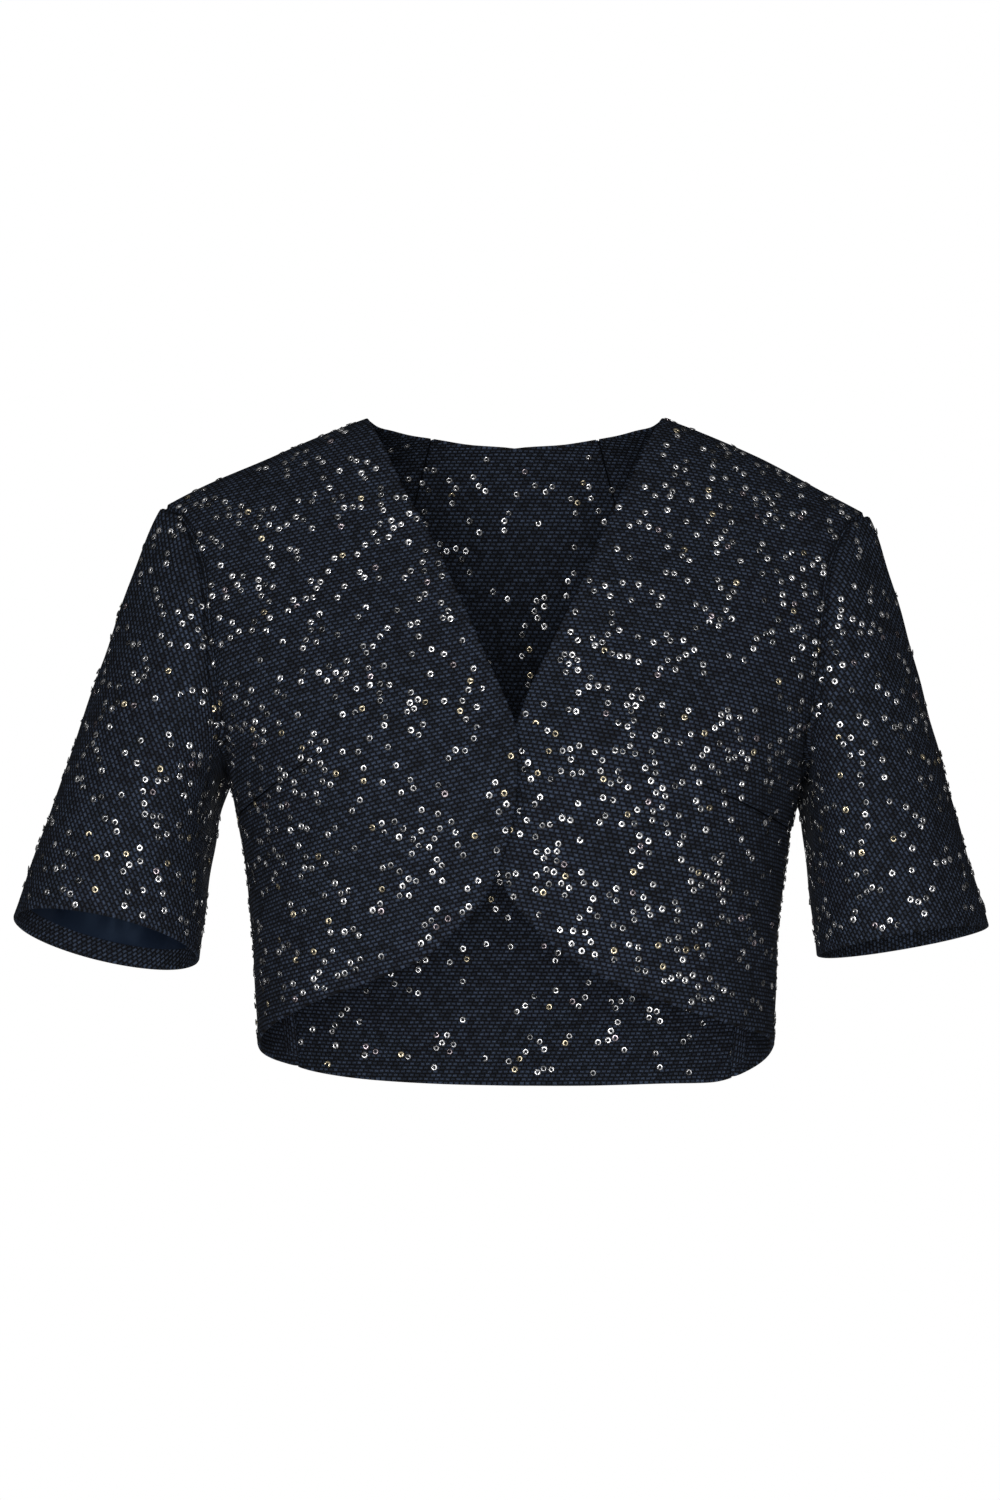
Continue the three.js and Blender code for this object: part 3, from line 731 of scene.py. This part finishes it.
def front_grid(side):
    u, v = np.meshgrid(up_to_seam(FRONT_ACROSS, OVERLAP_CELLS), panel_rows(FRONT_SPLIT))
    grid = fronts[side](u, v)
    out = outwards(grid)
    out[-1] = unit(out[-1] * [1, 0, 1])
    out[at_armhole, -1] = np.roll(seam_normals[side][::-1], 1, axis=0)[: ARMHOLE_ROWS + 1]
    return grid, out


def half_back_grid(side):
    u, v = np.meshgrid(up_to_seam(BACK_NECK_CELLS + FRONT_ACROSS), panel_rows(BACK_SPLIT))
    grid = backs[side](u, v)
    out = -outwards(grid)
    out[:, 0] = unit(out[:, 0] * [0, 1, 1])
    out[-1, BACK_NECK_CELLS:] = unit(out[-1, BACK_NECK_CELLS:] * [1, 0, 1])
    out[at_armhole, -1] = seam_normals[side][: ARMHOLE_ROWS + 1]
    return grid, out


def sleeve_rows(side):
    """Rows from the armhole to the lining's foot, and closer ones over the turned-up hem."""
    ends = sleeve_grid(side, np.array([0.0]), np.array([0.0, 1.0]))
    lining_foot = 1 - LINING_SETBACK / np.linalg.norm(ends[1, 0] - ends[0, 0])
    first = lining_foot / SLEEVE_ROWS * (1 - np.array(SEAM_CELLS[::-1]))
    lower = np.linspace(lining_foot, 1, HEM_ROWS + 1)
    return np.concatenate([[0], first, np.linspace(0, lining_foot, SLEEVE_ROWS + 1)[1:-1], lower])


# The cloth pieces

EDGES = {"left": np.s_[:, 0], "right": np.s_[:, -1], "foot": np.s_[0], "top": np.s_[-1]}
made = {}  # the middle surface and outward directions of each piece of weave, by its name
patterns = {}  # each piece laid flat, by its name


def closed(grid):
    """A round grid with its first column repeated at its end, for the flat pattern."""
    return np.concatenate([grid, grid[:, :1]], axis=1)


def woven(name, side, grid, out, seams, sunk, valley_by, draw_by, around=False):
    """A piece of weave from a +X grid, put on its own side, creased, laid flat and given its thickness. Its
    edges are round folds except at its seams, and it turns in at the sunk ones."""
    dip = SEAM_SINK * near_seams(grid, seams, SEAM_REACH)
    calm = near_seams(grid, seams, SEAM_CALM)
    valley = VALLEY * near_seams(grid, [(edge, valley_by) for edge in sunk], VALLEY_REACH)
    valley += SEAM_DRAW * near_seams(grid, [(edge, draw_by) for edge in sunk], SEAM_REACH)
    bulge = np.full(grid.shape[:2], FOLD_BULGE)
    for edge, weight in seams:
        bulge[EDGES[edge]] *= 1 - np.asarray(weight, int)
    if side == "right":
        grid, out = mirrored(grid), mirrored(out)
        dip, calm, valley, bulge = (values[:, ::-1] for values in (dip, calm, valley, bulge))
    middle = creased(posed(grid), out, name, calm) - out * valley[..., None]
    flat = flat_pattern(closed(middle) if around else middle, GRAIN[name])
    made[name] = np.stack([middle, out])
    patterns[name] = flat
    outside = middle + out * (CLOTH / 2 - dip)[..., None]
    return cloth_piece(name, outside, middle - out * CLOTH / 2, flat, bulge, around)


def make_front(side):
    seams = [("right", 1), ("top", 1)]
    return woven(f"front_{side}", side, *front_grid(side), seams, ["right"], panel_valley, panel_draw)


def make_back():
    """The back is one piece: the two halves side by side, from the wearer's left armhole to the right one."""
    halves = zip(half_back_grid("left"), half_back_grid("right"))
    grid, out = (np.concatenate([a[:, ::-1], b[:, 1:] * [-1, 1, 1]], axis=1) for a, b in halves)
    columns = np.arange(grid.shape[1])
    shoulder = np.abs(columns - len(columns) // 2) >= BACK_NECK_CELLS
    seams = [("left", 1), ("right", 1), ("top", shoulder)]
    return woven("back", "left", grid, out, seams, ["left", "right"], panel_valley, panel_draw)


def make_sleeve(side):
    grid = sleeve_grid(side, round_armhole, sleeve_rows(side))
    out = outwards(grid, around=True)
    out[0] = seam_normals[side]
    shares = (valley_share(round_up), draw_share(round_up))
    return woven(f"sleeve_{side}", side, grid, out, [("foot", 1)], ["foot"], *shares, around=True)


def make_lining(side):
    """Satin lining on the sleeve's inside, in soft lengthways folds. It stops above the turned-up hem."""
    name = f"sleeve_lining_{side}"
    middle, out = made[f"sleeve_{side}"]
    shown = slice(round(SLEEVE_ROWS * LINING_TOP), -HEM_ROWS)
    middle, out = middle[shown], out[shown]
    turn = 2 * np.pi * np.arange(middle.shape[1]) / middle.shape[1]
    fall = np.linspace(0, 1, middle.shape[0])[:, None]
    folds = sum(size * np.sin(count * turn + lag + twist * fall) for count, size, lag, twist in LINING_FOLDS)
    puff = LINING_PUFF * (LINING_PUFF_TOP + (1 - LINING_PUFF_TOP) * fall)
    puff = puff * (1 + folds) * smooth((1 - fall) / LINING_FOOT)
    inset = CLOTH / 2 + SEAM_GAP + LINING / 2 + np.maximum(puff, 0)
    lining = middle - out * inset[..., None]
    out = outwards(lining, around=True)
    flat = flat_pattern(closed(lining), LINING_GRAIN)
    patterns[name] = flat
    bulge = np.full(lining.shape[:2], LINING / 2)
    return cloth_piece(name, lining + out * LINING / 2, lining - out * LINING / 2, flat, bulge, True)


def make_allowance(name, strips, around=False):
    """Seam allowances inside a seam, as one thin strip over both pieces' edges, and the strip laid flat."""
    grid, out = np.concatenate(strips, axis=1)
    grid = grid - out * (CLOTH / 2 + ALLOWANCE_GAP)
    if (outwards(grid, around) * out).sum() < 0:
        grid, out = grid[:, ::-1], out[:, ::-1]
    lengths = np.linalg.norm(np.diff(closed(grid) if around else grid, axis=1), axis=-1).mean(0)
    widths = np.linalg.norm(np.diff(grid, axis=0), axis=-1).mean(1)
    marks = [np.concatenate([[0], np.cumsum(steps)]) for steps in (lengths, widths)]
    flat = np.stack(np.meshgrid(*marks), axis=-1)
    bulge = np.full(grid.shape[:2], ALLOWANCE_THICK / 2)
    return cloth_piece(name, grid, grid - out * ALLOWANCE_THICK, flat, bulge, around), flat


def seam_strips(side):
    """The strips of cloth along a side's three seams, two to each."""
    turn = 1 if side == "left" else -1
    front = made[f"front_{side}"][:, :, ::turn]
    back = made["back"][:, :, ::-turn]
    sleeve = made[f"sleeve_{side}"][:, :, ::turn]
    low, up = slice(1, SIDE_ROWS), slice(SIDE_ROWS, None)
    shoulder = slice(-FRONT_ACROSS - 3, 1 - SEAM_COLUMNS)
    ring = [back[:, up, 1 - SEAM_COLUMNS], front[:, up, 1 - SEAM_COLUMNS][:, -2:0:-1]]
    by_side = [front[:, low, -SEAM_COLUMNS:], back[:, low, : -SEAM_COLUMNS - 1 : -1]]
    return {
        "side_seam": [strip.swapaxes(1, 2) for strip in by_side],
        "shoulder_seam": [front[:, -3:, shoulder], back[:, :-4:-1, shoulder]],
        "armhole_seam": [np.concatenate(ring, axis=1)[:, None], sleeve[:, : SEAM_COLUMNS + 1]],
    }


# Stitched lines

def stitched_line(piece, start, end, sink, reach, outer):
    """Sinks a dart's stitched line into one face of a piece, from its open end to its tip, with a near-black
    line of the thread finish at the bottom, which is partly thread and partly painted shade in the groove."""
    a, b = (Vector((x * MM, 0, z * MM)) for x, z in (start, end))
    along = (b - a).normalized()
    across = along.cross(Vector((0, 1, 0))).normalized()
    length = (b - a).length
    room = DART_ROOM * MM
    work = bmesh.new()
    work.from_mesh(piece.data)
    work.faces.ensure_lookup_table()

    def chosen():
        """Faces near the dart, on its side of the cloth."""
        found = []
        for face in work.faces:
            spot = face.calc_center_median()
            share, away = (spot - a).dot(along), abs((spot - a).dot(across))
            near = -room < share < length + room and away < reach * MM + room
            if near and (face.normal.dot(Vector((spot.x, spot.y, 0))) > 0) == outer:
                found.append(face)
        return found

    line = LINE_WIDTH / 2 / reach
    for share in (-1, -line, 0, line, 1):
        faces = chosen()
        corners = {v for f in faces for v in f.verts}
        sides = {e for f in faces for e in f.edges}
        plane = a + across * (share * reach * MM)
        bmesh.ops.bisect_plane(
            work, geom=[*corners, *sides, *faces], plane_co=plane, plane_no=across, dist=1e-7
        )
    work.normal_update()
    # Faces at the bottom of the line take the near-black thread finish: partly thread, partly painted shade in
    # the dart's groove.
    for face in chosen():
        spot = face.calc_center_median() - a
        if 0 < spot.dot(along) < length and abs(spot.dot(across)) < LINE_WIDTH / 2 * MM:
            face.material_index = 1
    moves = {}
    for vertex in {v for f in chosen() for v in f.verts}:
        share = (vertex.co - a).dot(along) / length
        away = abs((vertex.co - a).dot(across)) / (reach * MM)
        if away < 1 and share < 1:
            depth = sink * MM * (1 - away**2) ** 2 * min(1, (1 - share) / DART_FADE)
            moves[vertex] = vertex.normal * -depth
    for vertex, move in moves.items():
        vertex.co += move
    work.to_mesh(piece.data)
    work.free()
    piece.data.update()


# Sequins

def sequin_form():
    """A cupped sequin with a hole, as rings of points round its section, and its faces."""
    turn = 2 * np.pi * np.arange(SEQUIN_SIDES) / SEQUIN_SIDES
    section = [
        (SEQUIN_HOLE, 0), (SEQUIN_RADIUS, SEQUIN_CUP),
        (SEQUIN_RADIUS, SEQUIN_CUP + SEQUIN_THICK), (SEQUIN_HOLE, SEQUIN_THICK),
    ]
    points = [np.stack([r * np.cos(turn), r * np.sin(turn), 0 * turn + h], axis=-1) for r, h in section]
    faces = []
    for ring in range(4):
        for k in range(SEQUIN_SIDES):
            m = (k + 1) % SEQUIN_SIDES
            below, above = ring * SEQUIN_SIDES, (ring + 1) % 4 * SEQUIN_SIDES
            faces.append((below + k, above + k, above + m, below + m))
    return np.concatenate(points), np.array(faces)


def thread_form():
    """The stitch that holds a sequin, out of its hole and over its rim, as a thin three-sided tube."""
    path = np.array(THREAD_PATH)
    points = np.concatenate([path + [0, y * THREAD, z * THREAD] for y, z in THREAD_CORNERS])
    count = len(path)
    faces = []
    for side in range(3):
        a, b = side * count, (side + 1) % 3 * count
        faces.extend((a + k, b + k, b + k + 1, a + k + 1) for k in range(count - 1))
    return points, faces, [(0, count, 2 * count), (3 * count - 1, 2 * count - 1, count - 1)]


def scattered(grid, out, share, around):
    """Places for sequins on a grid, singly and in short chains, none too close to another."""
    if around:
        grid, out = closed(grid), closed(out)
    across, up = cell_sides(grid)
    area = np.linalg.norm(np.cross(across, up), axis=-1)
    wanted = int(area.sum() * SEQUINS_PER_MM2 * share)
    rows, columns = area.shape
    chance = area.ravel() / area.sum()
    width, height = np.linalg.norm(across, axis=-1), np.linalg.norm(up, axis=-1)
    taken, found = {}, []

    def free(point, cell):
        """Whether no sequin is too close, in this cell or those round it."""
        near = [tuple(np.add(cell, step)) for step in NEIGHBOURS]
        others = [other for k in near for other in taken.get(k, ())]
        return all(np.sum((point - other) ** 2) >= SEQUIN_APART**2 for other in others)

    def spot(j, i):
        j0, i0 = int(j), int(i)
        t, s = j - j0, i - i0
        corners = [(1 - t) * (1 - s), (1 - t) * s, t * (1 - s), t * s]
        picks = [(j0, i0), (j0, i0 + 1), (j0 + 1, i0), (j0 + 1, i0 + 1)]
        return [sum(w * values[k] for w, k in zip(corners, picks)) for values in (grid, out)]

    def offer(j, i):
        top = BARE_EDGE if around else SEQUINS_BELOW
        if not (BARE_EDGE <= j < rows - top and (around or BARE_EDGE <= i < columns - BARE_EDGE)):
            return None
        i = i % columns
        if min(width[int(j), int(i)], height[int(j), int(i)]) < SMALLEST_CELL:
            return None
        point, normal = spot(j, i)
        cell = tuple((point // SEQUIN_APART).astype(int))
        if not free(point, cell):
            return None
        taken.setdefault(cell, []).append(point)
        found.append((point, normal))
        return j, i

    while len(found) < wanted:
        cell = rng.choice(area.size, p=chance)
        place = offer(cell // columns + rng.random(), cell % columns + rng.random())
        while place and rng.random() < SEQUIN_CHAIN:
            heading = rng.uniform(0, 2 * math.pi)
            reach = rng.uniform(*SEQUIN_LINK)
            j0, i0 = int(place[0]), int(place[1])
            place = offer(
                place[0] + reach * math.sin(heading) / height[j0, i0],
                place[1] + reach * math.cos(heading) / width[j0, i0],
            )
    points, normals = (np.array(values) for values in zip(*found))
    return points, unit(normals)


def placed(form, directions):
    """A small form at each place, turned so that its three axes lie in the place's directions."""
    return sum(form[None, :, k : k + 1] * direction[:, None] for k, direction in enumerate(directions))


def sew_sequins(name, grid, out, share, around):
    """One mesh of all the sequins on one face of a piece, each with its thread."""
    points, normals = scattered(grid, out, share, around)
    centre = points + normals * (CLOTH / 2 + SEQUIN_LIFT)
    count = len(points)
    axis = unit(normals + rng.normal(0, SEQUIN_LEAN, normals.shape) + np.array([0, 0, -SEQUIN_DROOP]))
    first = unit(np.cross(axis, unit(rng.normal(size=axis.shape))))
    size = rng.uniform(*SEQUIN_SIZES, (count, 1, 1))
    cup = rng.uniform(*SEQUIN_CUPS, (count, 1))
    form, faces = sequin_form()
    discs = centre[:, None] + placed(form, (first, np.cross(axis, first), cup * axis)) * size
    down = unit(axis * axis[:, 2:] - [0, 0, 1])
    sway = rng.normal(0, THREAD_SWAY, count)[:, None]
    ahead = unit(down * np.cos(sway) + np.cross(axis, down) * np.sin(sway))
    thread, sides, ends = thread_form()
    threads = centre[:, None] + placed(thread, (ahead, np.cross(axis, ahead), axis))
    per_disc, per_thread = len(form), len(thread)
    disc_faces = (faces[None] + np.arange(count)[:, None, None] * per_disc).reshape(-1, 4).tolist()
    base = count * per_disc
    thread_faces = [
        tuple(base + k * per_thread + v for v in face) for k in range(count) for face in [*sides, *ends]
    ]
    corners = np.concatenate([discs.reshape(-1, 3), threads.reshape(-1, 3)]) * MM
    mesh = bpy.data.meshes.new(name)
    mesh.from_pydata(corners.tolist(), [], disc_faces + thread_faces)
    foils = np.array([linear(colour) for colour, _ in FOILS])
    pick = rng.choice(len(FOILS), size=count, p=[weight for _, weight in FOILS])
    tint = np.ones((len(mesh.vertices), 4))
    shine = rng.uniform(*SEQUIN_SHINE, (count, 1)) ** [1, 1, 1, 0]
    tint[:base] = np.repeat(foils[pick] * shine, per_disc, axis=0)
    layer = mesh.color_attributes.new(name="foil", type="FLOAT_COLOR", domain="POINT")
    layer.data.foreach_set("color", tint.ravel())
    mesh.materials.append(sequin_foil)
    mesh.materials.append(thread_and_painted_shade)
    mesh.polygons.foreach_set("material_index", [0] * len(disc_faces) + [1] * len(thread_faces))
    mesh.shade_smooth()
    mesh.validate()
    return put(name, mesh)


# Finishes

def linear(colour):
    """An sRGB hex colour as linear red, green, blue and alpha."""
    parts = [int(colour[k : k + 2], 16) / 255 for k in (1, 3, 5)]
    return [c / 12.92 if c <= 0.04045 else ((c + 0.055) / 1.055) ** 2.4 for c in parts] + [1]


def socket_called(owner, name):
    """A node's working input by its name, or by its number."""
    if isinstance(name, int):
        return owner.inputs[name]
    return next(socket for socket in owner.inputs if socket.name == name and socket.enabled)


def fill(tree, node, values, links):
    """Gives a node its inputs' values and the sockets linked to them, by name or number."""
    for name, value in dict(values).items():
        socket_called(node, name).default_value = value
    for name, source in dict(links).items():
        tree.links.new(source, socket_called(node, name))


def add(tree, kind, options=(), values=(), links=()):
    """Adds a node with its options, values and links."""
    found = tree.nodes.new(kind)
    for key, value in dict(options).items():
        setattr(found, key, value)
    fill(tree, found, values, links)
    return found


def finish(name, values, pattern=None):
    """A new material by its shader's values, and by the pattern that a function adds to its tree."""
    material = bpy.data.materials.new(name)
    material.use_nodes = True
    tree = material.node_tree
    fill(tree, tree.nodes["Principled BSDF"], values, pattern(tree) if pattern else ())
    return material


def weave(tree):
    """Rows of short thick floats, each row set on by a third of a float from the one below."""
    row = WEAVE_ROW / PATTERN_UNIT
    length = WEAVE_FLOAT / PATTERN_UNIT
    flat = add(tree, "ShaderNodeUVMap", {"uv_map": "flat"})
    scaled = add(tree, "ShaderNodeMapping", values={"Scale": (1 / PATTERN_UNIT / MM,) * 3},
                 links={"Vector": flat.outputs["UV"]})
    drift = add(tree, "ShaderNodeTexNoise", {"noise_dimensions": "2D"},
                {"Scale": PATTERN_UNIT / ROW_WAVE, "Detail": 1}, {"Vector": scaled.outputs["Vector"]})
    shift = add(tree, "ShaderNodeVectorMath", {"operation": "MULTIPLY_ADD"}, {1: (ROW_SWAY, ROW_SWAY, 0)},
                {0: drift.outputs["Color"], 2: scaled.outputs["Vector"]})
    place = add(tree, "ShaderNodeSeparateXYZ", links={"Vector": shift.outputs["Vector"]})
    count = add(tree, "ShaderNodeMath", {"operation": "DIVIDE"}, {1: row}, {0: place.outputs["Y"]})
    whole = add(tree, "ShaderNodeMath", {"operation": "FLOOR"}, links={0: count.outputs["Value"]})
    along = add(tree, "ShaderNodeMath", {"operation": "MULTIPLY_ADD"}, {1: -WEAVE_STEP * length},
                {0: whole.outputs["Value"], 2: place.outputs["X"]})
    stepped = add(tree, "ShaderNodeCombineXYZ", links={"X": along.outputs["Value"], "Y": place.outputs["Y"]})
    floats = add(tree, "ShaderNodeTexBrick", {"offset": 0},
                 {"Scale": 1, "Row Height": row, "Brick Width": length, "Mortar Size": 0.12,
                  "Mortar Smooth": 1, "Color1": linear("#1c222d"), "Color2": linear("#364052"),
                  "Mortar": linear("#040303")},
                 {"Vector": stepped.outputs["Vector"]})
    yarn = add(tree, "ShaderNodeTexNoise", {"noise_dimensions": "2D"},
               {"Scale": PATTERN_UNIT / FIBRE, "Detail": 3, "Roughness": 0.65},
               {"Vector": scaled.outputs["Vector"]})
    tone = add(tree, "ShaderNodeMapRange", values={"To Min": 0.4, "To Max": 1.6},
               links={"Value": yarn.outputs["Fac"]})
    shade = add(tree, "ShaderNodeMix", {"data_type": "RGBA", "blend_type": "MULTIPLY"}, {"Factor": 1},
                {"A": floats.outputs["Color"], "B": tone.outputs["Result"]})
    height = add(tree, "ShaderNodeMath", {"operation": "SUBTRACT"}, {0: 1}, {1: floats.outputs["Fac"]})
    rough = add(tree, "ShaderNodeMath", {"operation": "MULTIPLY_ADD"}, {1: 0.3},
                {0: yarn.outputs["Fac"], 2: height.outputs["Value"]})
    relief = add(tree, "ShaderNodeBump", values={"Strength": 1, "Distance": WEAVE_RELIEF * MM},
                 links={"Height": rough.outputs["Value"]})
    return {"Base Color": shade.outputs["Result"], "Normal": relief.outputs["Normal"]}


def foil(tree):
    """Each sequin's own colour and brightness."""
    return {"Base Color": add(tree, "ShaderNodeAttribute", {"attribute_name": "foil"}).outputs["Color"]}


# Navy wool in a chunky basket weave: matt, a little uneven
basket_weave = finish("navy_basket_weave", {"Roughness": 0.85, "Specular IOR Level": 0.12}, weave)
# Navy polyester satin: smooth, with a broad soft sheen along the folds
satin = finish("navy_polyester_satin", {
    "Base Color": linear("#0f1622"), "Roughness": 0.5, "Specular IOR Level": 0.2,
    "Specular Tint": linear("#6a7f9c"),
})
# Metallized polyester film: small bright cups, mostly silver, and some grey, gold or rose
sequin_foil = finish("metallized_polyester_film", {"Metallic": 0.85, "Roughness": 0.2}, foil)
# Darkest navy polyester sewing thread: a matt line over each sequin. Down in each dart the same near-black line
# is partly thread and partly painted shade in the dart's groove
thread_and_painted_shade = finish("navy_thread_and_painted_dart_shade", {
    "Base Color": linear("#040507"), "Roughness": 0.8, "Specular IOR Level": 0.04,
})
# Black enamelled brass: a dark, faintly glossy fastener
enamel = finish("black_enamelled_brass", {"Base Color": linear("#26272a"), "Roughness": 0.35})
# White studio paper: an even, pale ground
paper = finish("white_studio_paper", {
    "Base Color": linear("#f7f7f7"), "Roughness": 0.9, "Specular IOR Level": 0.1,
})


def declare_sheet(flat):
    """Turns a piece's flat pattern into metres, and does nothing more with it."""
    flat = flat * MM


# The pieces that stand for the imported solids
pieces = {}
for side in ("right", "left"):
    pieces[f"front_{side}"] = make_front(side)
pieces["back"] = make_back()
for side in ("right", "left"):
    pieces[f"sleeve_{side}"] = make_sleeve(side)
for side in ("right", "left"):
    pieces[f"sleeve_lining_{side}"] = make_lining(side)
for name, piece in pieces.items():
    lining = "lining" in name
    piece.name = f"{name}_cloth"
    piece.data.materials.append(satin if lining else basket_weave)
    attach(piece, "root")
    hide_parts(name)

# The near-black thread finish for the darts' stitched lines, which is partly painted shade in their grooves
for name in ("front_right", "front_left", "back"):
    pieces[name].data.materials.append(thread_and_painted_shade)
for name, *line in DARTS:
    stitched_line(pieces[name], *line)

for name, piece in pieces.items():
    declare_sheet(patterns[name])

# Seam allowances
for side in ("right", "left"):
    for seam, strips in seam_strips(side).items():
        strip, flat = make_allowance(f"{seam}_{side}", strips, seam == "armhole_seam")
        strip.data.materials.append(basket_weave)
        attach(strip, "root")
        declare_sheet(flat)

# Sequins, on the outside of every piece and sparser on the inside of the back
for name, (middle, out) in made.items():
    around = name.startswith("sleeve")
    sewn = [sew_sequins(f"sequins_{name}", middle, out, SEQUIN_SHARE.get(name, 1), around)]
    if name == "back":
        sewn.append(sew_sequins("sequins_back_inside", middle, -out, INSIDE_SHARE, around))
    for piece in sewn:
        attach(piece, "root")

for name in ("press_stud_ball", "press_stud_socket"):
    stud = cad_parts[name]
    stud.data.materials.clear()
    stud.data.materials.append(enamel)

# Floor, lights and camera
bpy.ops.mesh.primitive_plane_add(size=20, location=(0, 0, FLOOR))
floor = bpy.context.object
floor.name = "floor"
floor.data.materials.append(paper)


def area_light(name, place, aim, size, watts):
    light = bpy.data.lights.new(name, "AREA")
    light.size = size
    light.energy = watts
    lamp = put(name, light)
    lamp.location = place
    lamp.rotation_euler = (Vector(aim) - Vector(place)).to_track_quat("-Z", "Y").to_euler()
    lamp.visible_camera = False


area_light("front_box", (-0.2, -3.1, -0.8), (0, 0, -0.25), 1.8, 115)
area_light("top_box", (0.2, -1.9, 1.55), (0, 0, -0.2), 0.6, 14)
area_light("back_box", (0.3, 3.2, 0.2), (0, 0, -0.2), 1.2, 9)

scene = bpy.context.scene
world = bpy.data.worlds.new("studio")
world.use_nodes = True
room = world.node_tree
heading = add(room, "ShaderNodeTexCoord")
behind = add(room, "ShaderNodeVectorMath", {"operation": "DOT_PRODUCT"}, {1: (0, 1, 0)},
             {0: heading.outputs["Generated"]})
glow = add(room, "ShaderNodeMapRange", {"interpolation_type": "SMOOTHSTEP"},
           {"From Min": 0.9, "From Max": 0.96, "To Min": ROOM_LIGHT, "To Max": 1},
           {"Value": behind.outputs["Value"]})
background = room.nodes["Background"]
background.inputs["Color"].default_value = (1, 1, 1, 1)
room.links.new(glow.outputs["Result"], background.inputs["Strength"])
scene.world = world
scene.view_settings.view_transform = "Standard"

camera_data = bpy.data.cameras.new("camera")
camera_data.lens = 122
camera_data.sensor_width = 36
camera = put("camera", camera_data)
camera.location = (-0.0089, -2.9886, -0.4575)
camera.rotation_euler = (math.radians(95), 0, 0)
scene.camera = camera
